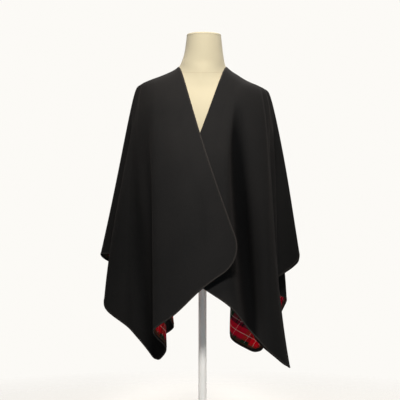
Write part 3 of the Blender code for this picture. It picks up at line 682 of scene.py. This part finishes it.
def woolMaterial(name, look):
    # black wool cloth: a fine twill under a short nap
    material, tree, shader = startMaterial(name, woolNap["steady"])
    shader.inputs["Sheen Weight"].default_value = look["sheen"]
    fibres = addGroup(tree, nap, Place=placeOn(tree, "Object"), Fibre_scale=woolNap["fibres"],
                      Drift_scale=woolNap["drift"])
    weave = addGroup(tree, twill, Place=placeOn(tree, "UV"), Threads=woolNap["weave"])
    # pale where fibres are raised, and in slow patches
    tone = addMath(tree, "MULTIPLY_ADD", fibres.outputs["Fibres"], 0.9, -0.3)
    tone = addMath(tree, "MULTIPLY_ADD", fibres.outputs["Drift"], 0.5, tone, clamp=True)
    colour = addMix(tree, tone, look["dark"], look["light"])
    # painted shade: the colour is darkened towards the deep colour where the mask says the cloth lies deep
    # in a fold or crease
    paintedShadeMask = tree.nodes.new("ShaderNodeAttribute")
    paintedShadeMask.attribute_name = "paintedShadeMask"
    deep = addMath(tree, "MULTIPLY", paintedShadeMask.outputs["Fac"], look["foldShade"])
    tree.links.new(addMix(tree, deep, colour, look["deep"]), shader.inputs["Base Color"])
    first = addBump(tree, shader, weave.outputs["Height"], *woolNap["weaveBump"])
    addBump(tree, shader, fibres.outputs["Height"], *woolNap["fibreBump"], before=first)
    return material


def tartanMaterial(look):
    # tartan: each direction has its own stripes, and the twill shows one or the other
    material, tree, shader = startMaterial("tartanTwill", look["steady"])
    flat = placeOn(tree, "UV")
    x, y = splitPlace(tree, flat)[:2]
    # the stripes are counted in from the cloth's edges, so that both edges show the same order
    side, back, front = [(cut[edge] - cut["band"]) * cm for edge in ("halfWidth", "back", "front")]
    fromSide = addMath(tree, "SUBTRACT", side, addMath(tree, "ABSOLUTE", x))
    fromHem = addMath(tree, "MINIMUM", addMath(tree, "SUBTRACT", back, y), addMath(tree, "ADD", front, y))
    warp = addGroup(tree, sett, Distance=fromSide)
    weft = addGroup(tree, sett, Distance=fromHem)
    weave = addGroup(tree, twill, Place=flat, Threads=look["weave"])
    fibres = addGroup(tree, nap, Place=flat, Fibre_scale=look["fibres"], Drift_scale=look["drift"])
    colour = addMix(tree, weave.outputs["Weft shows"], warp.outputs["Color"], weft.outputs["Color"])
    border = addMath(tree, "LESS_THAN", addMath(tree, "MINIMUM", fromSide, fromHem), look["border"] * cm)
    border = addMath(tree, "MULTIPLY", border, look["borderShade"])
    colour = addMix(tree, border, colour, look["colours"]["green"])
    shade = addMath(tree, "MULTIPLY", fibres.outputs["Fibres"], look["fibreShade"])
    colour = addMix(tree, shade, colour, addMix(tree, look["fibreDark"], colour, (0.0, 0.0, 0.0, 1)))
    tree.links.new(colour, shader.inputs["Base Color"])
    first = addBump(tree, shader, weave.outputs["Height"], *look["weaveBump"])
    addBump(tree, shader, fibres.outputs["Height"], *look["fibreBump"], before=first)
    return material


creamJersey = {
    "light": (0.395, 0.362, 0.256, 1), "dark": (0.350, 0.318, 0.222, 1),
    "wales": 160.0, "waleBend": 0.4, "fibres": 500.0, "drift": 9.0,
    "waleBump": (0.0002, 0.5), "fibreBump": (0.0003, 0.5),
    "steady": {"Metallic": 0.0, "Roughness": 0.88, "Specular IOR Level": 0.25, "Sheen Weight": 0.12},
    # the seam round the foot of the neck: its height in front and how fast it rises to the
    # sides, its half width and how dark it is, in metres
    "seamHeight": neckPointHeight - 0.0265, "seamBow": 1.6, "seamWidth": 0.0016,
    "seamShade": 0.3, "seamColour": (0.20, 0.17, 0.11, 1),
}


def jerseyMaterial(look):
    # close knitted cover: rows of fine wales, with a slow unevenness of tone
    material, tree, shader = startMaterial("creamJersey", look["steady"])
    here = placeOn(tree, "Object")
    wales = tree.nodes.new("ShaderNodeTexWave")
    wales.inputs["Scale"].default_value = look["wales"]
    wales.inputs["Distortion"].default_value = look["waleBend"]
    tree.links.new(here, wales.inputs["Vector"])
    fibres = addGroup(tree, nap, Place=here, Fibre_scale=look["fibres"], Drift_scale=look["drift"])
    colour = addMix(tree, fibres.outputs["Drift"], look["light"], look["dark"])
    # the seam lies where the height, less the bow times the square of x, is the seam's height
    x, y, z = splitPlace(tree, here)
    bowed = addMath(tree, "MULTIPLY_ADD", addMath(tree, "POWER", x, 2.0), -look["seamBow"], z)
    away = addMath(tree, "ABSOLUTE", addMath(tree, "SUBTRACT", bowed, look["seamHeight"]))
    seam = addMath(tree, "SUBTRACT", 1.0, addMath(tree, "DIVIDE", away, look["seamWidth"]), clamp=True)
    colour = addMix(tree, addMath(tree, "MULTIPLY", seam, look["seamShade"]), colour, look["seamColour"])
    tree.links.new(colour, shader.inputs["Base Color"])
    first = addBump(tree, shader, wales.outputs["Fac"], *look["waleBump"])
    addBump(tree, shader, fibres.outputs["Height"], *look["fibreBump"], before=first)
    return material


whitePaint = {
    "light": (0.86, 0.86, 0.84, 1), "dark": (0.78, 0.78, 0.76, 1), "peel": 260.0, "drift": 7.0,
    "roughness": (0.25, 0.50), "peelBump": (0.0001, 0.4),  # roughness from, to
    "steady": {"Metallic": 0.0, "Specular IOR Level": 0.5},
}


def paintMaterial(look):
    # satin white paint on steel, with a faint orange peel
    material, tree, shader = startMaterial("whitePaint", look["steady"])
    peel = addGroup(tree, nap, Place=placeOn(tree, "Object"), Fibre_scale=look["peel"],
                    Drift_scale=look["drift"])
    colour = addMix(tree, peel.outputs["Drift"], look["light"], look["dark"])
    tree.links.new(colour, shader.inputs["Base Color"])
    low, high = look["roughness"]
    rough = addMath(tree, "MULTIPLY_ADD", peel.outputs["Drift"], high - low, low)
    tree.links.new(rough, shader.inputs["Roughness"])
    addBump(tree, shader, peel.outputs["Height"], *look["peelBump"])
    return material


# the turned edge and its stitches wear the lighter wool, a painted highlight on the edge
wool, threadAndEdgeHighlight = woolMaterial("blackWool", blackWool), woolMaterial("threadAndEdgeHighlightWool", threadAndEdgeHighlightWool)
tartan, jersey, paint = tartanMaterial(tartanSett), jerseyMaterial(creamJersey), paintMaterial(whitePaint)
print("materials ready")


clothWall = {
    "outer": 0.0016, "gap": 0.0003, "tartan": 0.0010,  # metres
    "columnSag": 0.012, "widestColumn": 0.85, "widestTop": 0.5,  # centimetres
    "rows": 92, "crisp": 50,
}


def columnSpots(first, last):
    # spots closer together where the edge, waist or chest bend, so that chords stay near them:
    # the chord's length is the root of eight times the sag over the bend
    spots = np.linspace(first, last, 1600)
    step = spots[1] - spots[0]
    bend = np.zeros(len(spots))
    for name in ("chest", "waist", "hem"):
        curve = np.stack((lookUp(name + "X", spots), lookUp(name + "Y", spots)), axis=-1)
        bend = np.maximum(bend, length(np.gradient(np.gradient(curve, step, axis=0), step, axis=0)))
    near = 8  # spots on each side that the bend is averaged over
    shares = np.full(2 * near + 1, 1 / (2 * near + 1))
    bend = np.convolve(np.pad(bend, near, mode="edge"), shares, mode="valid")
    wanted = np.maximum(np.sqrt(bend / (8 * clothWall["columnSag"])), 1 / clothWall["widestColumn"])
    reach = lookUp("reach", spots)
    wanted = np.maximum(wanted, np.abs(np.gradient(reach, spots)) / clothWall["widestTop"])
    total = np.concatenate(([0.0], np.cumsum((wanted[1:] + wanted[:-1]) / 2 * step)))
    return np.interp(np.linspace(0, total[-1], int(np.ceil(total[-1])) + 1), total, spots)


def panelSpots(first, last):
    # columns of one panel; at a slit edge they follow the band and the round corner's angles
    radius, band = cut["slitCorner"], cut["band"]
    angles = np.linspace(np.arccos(1 - band / radius), np.pi / 2, 14)
    inBand = np.linspace(0.15, band, 3)[:-1]
    corner = np.concatenate(([0.0], inBand, radius * (1 - np.cos(angles))))
    if first == 0:
        return np.concatenate((corner[:-1], columnSpots(corner[-1], last)))
    if last == edgeLength:
        return np.concatenate((columnSpots(first, edgeLength - corner[-1])[:-1], edgeLength - corner[::-1]))
    return columnSpots(first, last)


def panelShares(spots):
    # rows of one panel, closer together at the shoulder; the last two are the edge band
    even = np.linspace(0, 1, clothWall["rows"])
    rows = even * (0.55 + 0.45 * even)
    ends, pulled = edgeShare(spots), edgeShare(spots, cut["band"])
    body = rows[None, :] * pulled[:, None]
    rim = pulled[:, None] + (ends - pulled)[:, None] * np.array([[0.5, 1.0]])
    return np.concatenate((body, rim), axis=1)


def makeWall(name, surface, outside, inside, material, slot, replaced):
    # closed wall between two depths below the outside of the garment
    points, normals, flat, paintedShadeMask = surface
    both = np.concatenate([(points - normals * depth).reshape(-1, 3) for depth in (outside, inside)])
    flat, paintedShadeMask = np.tile(flat.reshape(-1, 2), (2, 1)), np.tile(paintedShadeMask.ravel(), 2)
    faces = wallFaces(*points.shape[:2])
    return makeObject(name, both, faces, material, slot, (replaced,), flat, paintedShadeMask, clothWall["crisp"])


def makeCloth():
    # black and tartan wall of each panel; the tartan ends where the edge band begins
    panels = {
        "RightFront": (0, foldSpots[rightArm], "right_front"),
        "Back": (foldSpots[rightArm], foldSpots[leftArm], "back"),
        "LeftFront": (foldSpots[leftArm], edgeLength, "left_front"),
    }
    bandColumns, bandRows = 3, 2
    inset = clothWall["outer"] + clothWall["gap"]
    made = {}
    for label, (first, last, node) in panels.items():
        spots = panelSpots(first, last)
        shares = panelShares(spots)
        grid = np.repeat(spots[:, None], shares.shape[1], 1)
        points, normals = clothSurface(grid, shares)
        surface = (points, normals, flatPlace(grid, shares), foldDepth(grid, shares, normals))
        start = bandColumns if first == 0 else 0
        stop = len(spots) - (bandColumns if last == edgeLength else 0)
        lined = [part[start:stop, :-bandRows] for part in surface]
        made["wool" + label] = makeWall(
            "wool" + label, surface, 0.0, clothWall["outer"], wool, "black_cloth", "poncho_" + node)
        made["tartan" + label] = makeWall(
            "tartan" + label, lined, inset, inset + clothWall["tartan"], tartan, "red_tartan_cloth",
            "tartan_" + node)
        print("panel", label, points.shape[:2])
    return made


edgeRoll = {
    "step": 0.55,  # centimetres between sections
    # section of the turned edge: inwards from the cloth's edge and outwards from its outside, mm
    "section": [
        (3.4, 0.05), (3.0, 0.40), (1.6, 0.55), (0.3, 0.35), (-0.5, -0.35),
        (-0.5, -1.25), (0.3, -1.95), (1.6, -2.15), (3.0, -2.0), (3.4, -1.65),
    ],
}
# a row of stitches beside it, in mm: how far in, one every, and half the size of each
edgeStitch = {
    "inwards": 5.2, "every": 5.0, "halfLength": 1.6, "halfThick": 0.275, "proud": 0.05, "sides": 5,
}


def evenly(spots, shares, step):
    # the same path with points an even distance apart
    along = runningLength(clothSurface(spots, shares)[0]) / cm
    places = np.linspace(0, along[-1], max(2, int(round(along[-1] / step))) + 1)
    return np.interp(places, along, spots), np.interp(places, along, shares)


def edgePath(step):
    # once round the cloth: down the right slit edge, along the hem and the sides, up the left
    # slit edge and round the back of the neck
    steps = 200
    rightEnd, leftEnd = edgeShare(np.array([0.0, edgeLength]))
    down = np.linspace(0, 1, steps)
    corner = cut["slitCorner"] * (1 - np.cos(np.linspace(0, np.pi / 2, 60)))
    between = np.linspace(corner[-1], edgeLength - corner[-1], 3000)
    hem = np.concatenate((corner[:-1], between, edgeLength - corner[-2::-1]))
    behind = np.linspace(*foldSpots[list(neckRows)], 2 * steps)
    neck = np.interp(np.linspace(neckReach, -neckReach, steps), lookUp("reach", behind), behind)
    parts = [
        evenly(np.zeros(steps), down * rightEnd, step),
        evenly(hem, edgeShare(hem), step),
        evenly(np.full(steps, edgeLength), down[::-1] * leftEnd, step),
        evenly(neck, np.zeros(steps), step),
    ]
    return [np.concatenate([part[which][:-1] for part in parts]) for which in (0, 1)]


def edgeFrames(step):
    # points of the edge with the cloth's normal, the way into the cloth and the way along
    points, normals = clothSurface(*edgePath(step))
    along = unit(np.roll(points, -1, axis=0) - np.roll(points, 1, axis=0))
    inward = unit(np.cross(along, normals))
    inward = inward - normals * np.sum(inward * normals, axis=1, keepdims=True)
    return points, normals, unit(inward), along


def makeEdge():
    # the section carried along the edge
    points, normals, inward, along = edgeFrames(edgeRoll["step"])
    section = np.array(edgeRoll["section"]) * mm
    inwards, outwards = section[None, :, :1], section[None, :, 1:]
    rings = points[:, None] + inward[:, None] * inwards + normals[:, None] * outwards
    rows, columns = rings.shape[:2]
    lengthwise, across = np.arange(rows) * edgeRoll["step"] * cm, np.arange(columns) * mm
    flat = np.stack(np.meshgrid(lengthwise, across, indexing="ij"), -1).reshape(-1, 2)
    faces = gridFaces(rows, columns, wrapRows=True, wrapColumns=True)
    print("turned edge", rows, "sections")
    # the turned edge wears the lighter wool, its painted highlight
    return makeObject("turnedEdge", rings.reshape(-1, 3), faces, threadAndEdgeHighlight, "black_cloth", flat=flat)


def makeStitches():
    # short stitches with tapered ends, on the outside of the cloth: rings of points round the
    # way along, with cosine towards the cloth's middle and sine outwards
    points, normals, inward, along = edgeFrames(edgeStitch["every"] * mm / cm)
    middle = points + (inward * edgeStitch["inwards"] + normals * edgeStitch["proud"]) * mm
    places = np.array([-1.0, -0.6, 0.6, 1.0]) * edgeStitch["halfLength"] * mm
    swell = np.array([0.25, 1.0, 1.0, 0.25]) * edgeStitch["halfThick"] * mm
    angles = np.linspace(0, 2 * np.pi, edgeStitch["sides"], endpoint=False)
    rings = (
        middle[:, None, None]
        + along[:, None, None] * places[:, None, None]
        + inward[:, None, None] * (swell[:, None] * np.cos(angles))[..., None]
        + normals[:, None, None] * (swell[:, None] * np.sin(angles))[..., None]
    )
    count, around, sides = rings.shape[:3]
    corners = np.arange(1, sides - 1)
    end = np.stack((np.zeros_like(corners), corners, corners + 1), axis=1)
    tube = splitQuads(gridFaces(around, sides, wrapColumns=True))
    one = np.concatenate((tube, end, end[:, ::-1] + (around - 1) * sides))
    faces = (one[None] + (np.arange(count) * around * sides)[:, None, None]).reshape(-1, 3)
    print("stitches", count)
    return makeObject("edgeStitches", rings.reshape(-1, 3), faces, threadAndEdgeHighlight, "black_cloth",
                      flat=np.zeros((count * around * sides, 2)))


clothPieces = makeCloth()
makeEdge()
makeStitches()

# height, reach to the right and left, to the front and back, fullness of each section, and how
# far the neck's front stands out of it
formTable = np.array([
    (9.5, 4.95, 5.85, 5.2, 5.2, 2.0, 0.0),
    (7.0, 5.25, 6.15, 5.4, 5.5, 2.0, 0.0),
    (4.6, 5.60, 6.40, 5.6, 5.8, 2.0, 0.0),
    (2.2, 6.25, 6.75, 5.8, 6.0, 2.0, 0.0),
    (0.9, 6.90, 7.00, 5.9, 5.7, 2.0, 0.0),
    (-0.02, 7.20, 7.20, 4.9, 4.8, 2.0, 1.3),
    (-0.72, 7.75, 7.70, 4.9, 4.8, 1.85, 1.55),
    (-1.42, 8.80, 8.50, 4.9, 5.2, 1.7, 1.7),
    (-2.12, 10.15, 9.60, 5.0, 5.6, 1.6, 1.8),
    (-2.72, 11.50, 10.45, 5.2, 6.0, 1.6, 1.7),
    (-3.42, 13.20, 11.65, 5.5, 6.5, 1.6, 1.5),
    (-4.02, 14.85, 12.50, 5.8, 6.9, 1.6, 1.3),
    (-4.72, 16.70, 13.80, 6.2, 7.4, 1.6, 1.15),
    (-5.32, 17.90, 15.00, 6.6, 7.8, 1.7, 0.9),
    (-6.6, 18.80, 17.30, 7.4, 8.3, 1.7, 0.45),
    (-8.5, 19.30, 18.90, 8.6, 9.4, 2.0, 0.0),
    (-11.0, 19.20, 19.20, 9.9, 10.0, 2.1, 0.0),
    (-14.0, 18.40, 18.40, 11.0, 10.3, 2.1, 0.0),
    (-18.0, 17.30, 17.30, 12.3, 10.2, 2.1, 0.0),
    (-22.0, 16.60, 16.60, 13.2, 9.8, 2.1, 0.0),
    (-27.0, 15.90, 15.90, 13.5, 9.3, 2.1, 0.0),
    (-34.0, 13.80, 13.80, 12.2, 8.3, 2.1, 0.0),
    (-41.0, 12.30, 12.30, 10.8, 7.8, 2.1, 0.0),
    (-47.0, 13.40, 13.40, 10.7, 8.8, 2.1, 0.0),
    (-53.0, 15.00, 15.00, 11.2, 10.0, 2.1, 0.0),
    (-59.0, 15.80, 15.80, 11.4, 10.6, 2.1, 0.0),
    (-64.0, 15.60, 15.60, 11.2, 10.4, 2.1, 0.0),
])
formShape = {
    "middleY": 0.6, "throatHalfWidth": 7.05, "sides": 96, "crisp": 45,
    "footDrop": 0.7, "footShrink": 0.8,  # the rounded edge underneath
    "softenings": 16, "lastSoftenings": 3,  # of the shoulders, and of all of it
    "softened": (-10, -6, 1.5, 4), "shares": (0.0, 1.0, 1.0, 0.0),  # how much, by height
    # the neck's lid, from its rim to its top: how far in and how far up
    "cap": [(0.01, 0.005), (0.0, 0.20), (0.02, 0.52), (0.14, 0.68), (0.40, 0.76)],
}


def formRing(section, angles, shrink=0.0, lift=0.0):
    # oval section: x and y are powers of cosine and sine, with its own reach on each side
    z, right, left, front, back, fullness, throat = section
    across, deep = np.cos(angles), np.sin(angles)
    width = np.where(across < 0, right, left) - shrink
    depth = np.where(deep < 0, front, back) - shrink
    x = width * np.sign(across) * np.abs(across) ** (2 / fullness)
    y = formShape["middleY"] + depth * np.sign(deep) * np.abs(deep) ** (2 / fullness)
    y -= (deep < 0) * throat * np.maximum(1 - (x / formShape["throatHalfWidth"]) ** 2, 0)
    return np.stack((x * cm, y * cm, np.full_like(x, neckPointHeight + (z + lift) * cm)), axis=-1)


def closedStack(rings):
    # a stack of level rings from the bottom up, closed with fans at both ends
    levels, count = len(rings), len(rings[0])
    points = np.concatenate([*rings, rings[0].mean(axis=0)[None], rings[-1].mean(axis=0)[None]])
    i = np.arange(count)
    j = (i + 1) % count
    foot, top = levels * count, (levels - 1) * count
    low = np.stack((np.full(count, foot), j, i), axis=1)
    high = np.stack((np.full(count, foot + 1), top + i, top + j), axis=1)
    body = splitQuads(gridFaces(levels, count, wrapColumns=True)[:, ::-1])
    return points, np.concatenate((body, low, high))


def makeForm():
    # sections between the table's own, straight from one to the next as on the solid, and then
    # each moved towards the mean of its neighbours, more about the shoulders
    angles = np.linspace(0, 2 * np.pi, formShape["sides"], endpoint=False)
    heights = np.concatenate((np.arange(-64, -8, 1.0), np.arange(-8, 2.2, 0.25), np.linspace(2.2, 9.5, 13)))
    table = formTable[::-1]
    between = np.stack([np.interp(heights, table[:, 0], column) for column in table.T], axis=1)
    stack = np.array([formRing(section, angles) for section in between])
    share = np.interp(heights, formShape["softened"], formShape["shares"])[1:-1, None, None]
    for turn in range(formShape["softenings"]):
        stack[1:-1] += share * (0.25 * stack[:-2] - 0.5 * stack[1:-1] + 0.25 * stack[2:])
    for turn in range(formShape["lastSoftenings"]):
        stack[1:-1] = 0.25 * stack[:-2] + 0.5 * stack[1:-1] + 0.25 * stack[2:]
    foot = formRing(table[0], angles, shrink=formShape["footShrink"], lift=-formShape["footDrop"])
    cap = [formRing(formTable[0], angles, shrink=shrink, lift=lift) for shrink, lift in formShape["cap"]]
    stacks = {"formTorso": ("form_torso", [foot, *stack]), "neckCap": ("form_neck_cap", cap)}
    for name, (node, rings) in stacks.items():
        makeObject(name, *closedStack(rings), jersey, "cream_jersey", (node,), crisp=formShape["crisp"])
    print("dress form", len(stack), "levels")


makeForm()

standShape = {
    "sides": 96, "crisp": 35,
    # radius and height in metres, from the bottom up
    "base": [
        (0.168, 0.0), (0.1694, 0.0006), (0.170, 0.002), (0.170, 0.005), (0.1686, 0.0058),
        (0.166, 0.006), (0.120, 0.0073), (0.070, 0.0091), (0.046, 0.010), (0.034, 0.0106),
        (0.0292, 0.0125), (0.028, 0.016), (0.0266, 0.0325), (0.0262, 0.0337), (0.026, 0.034),
    ],
    "pole": [(0.0121, 0.0343), (0.0125, 0.0347), (0.0125, 0.7042), (0.0121, 0.7046)],
    "flange": [
        (0.0182, 0.7049), (0.0185, 0.7055), (0.0205, 0.714), (0.030, 0.7168), (0.043, 0.7186),
        (0.045, 0.7195), (0.045, 0.7224), (0.0445, 0.7229),
    ],
}


def levelRing(radius, height, sides):
    # a circle of points
    angles = np.linspace(0, 2 * np.pi, sides, endpoint=False)
    return np.stack((radius * np.cos(angles), radius * np.sin(angles), np.full(sides, height)), axis=-1)


def makeStand():
    # turned pieces: each profile carried round the pole's axis
    for label in ("base", "pole", "flange"):
        rings = [levelRing(radius, height, standShape["sides"]) for radius, height in standShape[label]]
        makeObject("stand" + label.capitalize(), *closedStack(rings), paint, "white_painted_steel",
                   ("stand_" + label,), crisp=standShape["crisp"])
    print("stand ready")


makeStand()

studio = {
    "floorSides": 96, "floorRings": (0.3, 0.8, 1.4, 2.4), "floorSolid": 1.0, "floorHeight": -0.0005,
    "floorColour": (0.88, 0.87, 0.84, 1), "floorSteady": {"Roughness": 0.9, "Specular IOR Level": 0.1},
    "background": (0.973, 0.956, 0.921, 1), "roomColour": (1.0, 0.97, 0.93, 1), "roomLight": 0.04,
    # camera: its x, how far it stands in front and below the neck point, and its scale
    "cameraX": -0.0078, "cameraDistance": 3.0, "cameraBelowNeck": 0.416,
    "pixelsPerMetre": 320, "imagePixels": 400, "sensor": 36,
    # name: position, aim, size, power, colour
    "lights": {
        "key": ((0.1, -0.85, 3.4), (0.0, 0.0, 1.2), 0.5, 58.0, (1.0, 0.90, 0.82)),
        "front": ((0.3, -3.4, 0.5), (0.0, 0.0, 0.6), 0.9, 8.0, (0.28, 0.74, 1.0)),
        "back": ((0.4, 2.0, 3.4), (0.0, 0.0, 1.0), 1.2, 90.0, (1.0, 0.97, 0.94)),
        "rightSide": ((-2.8, 1.3, 1.7), (0.0, 0.0, 0.9), 1.0, 16.0, (1.0, 0.97, 0.94)),
        "leftSide": ((2.8, 1.3, 1.7), (0.0, 0.0, 0.9), 1.0, 16.0, (1.0, 0.97, 0.94)),
    },
    # a tall narrow beam, so that the middle of the cloth is brighter than its sides
    "beam": {
        "place": (0.05, -2.2, 3.2), "aim": (0.0, -0.1, 1.16), "size": 0.22, "power": 672.0,
        "colour": (1.0, 0.95, 0.91), "angle": 38.0, "narrowed": 0.26,
    },
}


def makeFloor():
    # a round pale floor that fades into the background
    sides, radii = studio["floorSides"], studio["floorRings"]
    rings = [levelRing(radius, studio["floorHeight"], sides) for radius in radii]
    points = np.concatenate([*rings, [(0, 0, studio["floorHeight"])]])
    i = np.arange(sides)
    middle = np.stack((np.full(sides, len(radii) * sides), i, (i + 1) % sides), axis=1)
    faces = np.concatenate((splitQuads(gridFaces(len(radii), sides, wrapColumns=True)), middle))
    mesh = bpy.data.meshes.new("floor")
    mesh.from_pydata(points.tolist(), [], faces.tolist())
    floor = bpy.data.objects.new("floor", mesh)
    bpy.context.scene.collection.objects.link(floor)
    material, tree, shader = startMaterial("paleFloor", studio["floorSteady"])
    shader.inputs["Base Color"].default_value = studio["floorColour"]
    away = tree.nodes.new("ShaderNodeVectorMath")
    away.operation = "LENGTH"
    tree.links.new(placeOn(tree, "Object"), away.inputs[0])
    fromRim = addMath(tree, "SUBTRACT", radii[-1], away.outputs["Value"])
    fade = addMath(tree, "DIVIDE", fromRim, radii[-1] - studio["floorSolid"], clamp=True)
    tree.links.new(fade, shader.inputs["Alpha"])
    floor.data.materials.append(material)


def hangLamp(name, kind, spot, target, power, colour):
    # a light that is turned so that it looks at a point
    lamp = bpy.data.lights.new(name, kind)
    lamp.energy, lamp.color = power, colour
    thing = bpy.data.objects.new(name, lamp)
    thing.location = spot
    thing.rotation_euler = (Vector(target) - thing.location).to_track_quat("-Z", "Y").to_euler()
    bpy.context.scene.collection.objects.link(thing)
    return lamp, thing


def makeLights():
    # soft round lamps, one narrowed beam, and a weak light from the whole room
    for name, (spot, target, size, power, colour) in studio["lights"].items():
        lamp, thing = hangLamp(name, "AREA", spot, target, power, colour)
        lamp.shape, lamp.size = "DISK", size
    beam = studio["beam"]
    lamp, thing = hangLamp("beam", "SPOT", beam["place"], beam["aim"], beam["power"], beam["colour"])
    lamp.spot_size, lamp.spot_blend, lamp.shadow_soft_size = np.radians(beam["angle"]), 1.0, beam["size"]
    thing.scale = (beam["narrowed"], 1, 1)
    world = bpy.data.worlds.new("studio")
    world.use_nodes = True
    tree = world.node_tree
    seen = tree.nodes["Background"]  # what the camera sees
    seen.inputs["Color"].default_value = studio["background"]
    room = tree.nodes.new("ShaderNodeBackground")
    room.inputs["Color"].default_value = studio["roomColour"]
    room.inputs["Strength"].default_value = studio["roomLight"]
    choice = tree.nodes.new("ShaderNodeMixShader")
    tree.links.new(tree.nodes.new("ShaderNodeLightPath").outputs["Is Camera Ray"], choice.inputs[0])
    tree.links.new(room.outputs[0], choice.inputs[1])
    tree.links.new(seen.outputs[0], choice.inputs[2])
    tree.links.new(choice.outputs[0], tree.nodes["World Output"].inputs["Surface"])
    bpy.context.scene.world = world
    bpy.context.scene.view_settings.view_transform = "Standard"


def makeCamera():
    # the lens gives the photograph's scale at the form's middle, in a square image
    data = bpy.data.cameras.new("camera")
    data.sensor_width = studio["sensor"]
    imageWidth = studio["imagePixels"] / studio["pixelsPerMetre"]
    data.lens = studio["sensor"] * studio["cameraDistance"] / imageWidth
    camera = bpy.data.objects.new("camera", data)
    height = neckPointHeight - studio["cameraBelowNeck"]
    camera.location = (studio["cameraX"], -studio["cameraDistance"], height)
    camera.rotation_euler = (np.pi / 2, 0, 0)
    bpy.context.scene.collection.objects.link(camera)
    bpy.context.scene.camera = camera


makeFloor()
makeLights()
makeCamera()
print("studio ready")
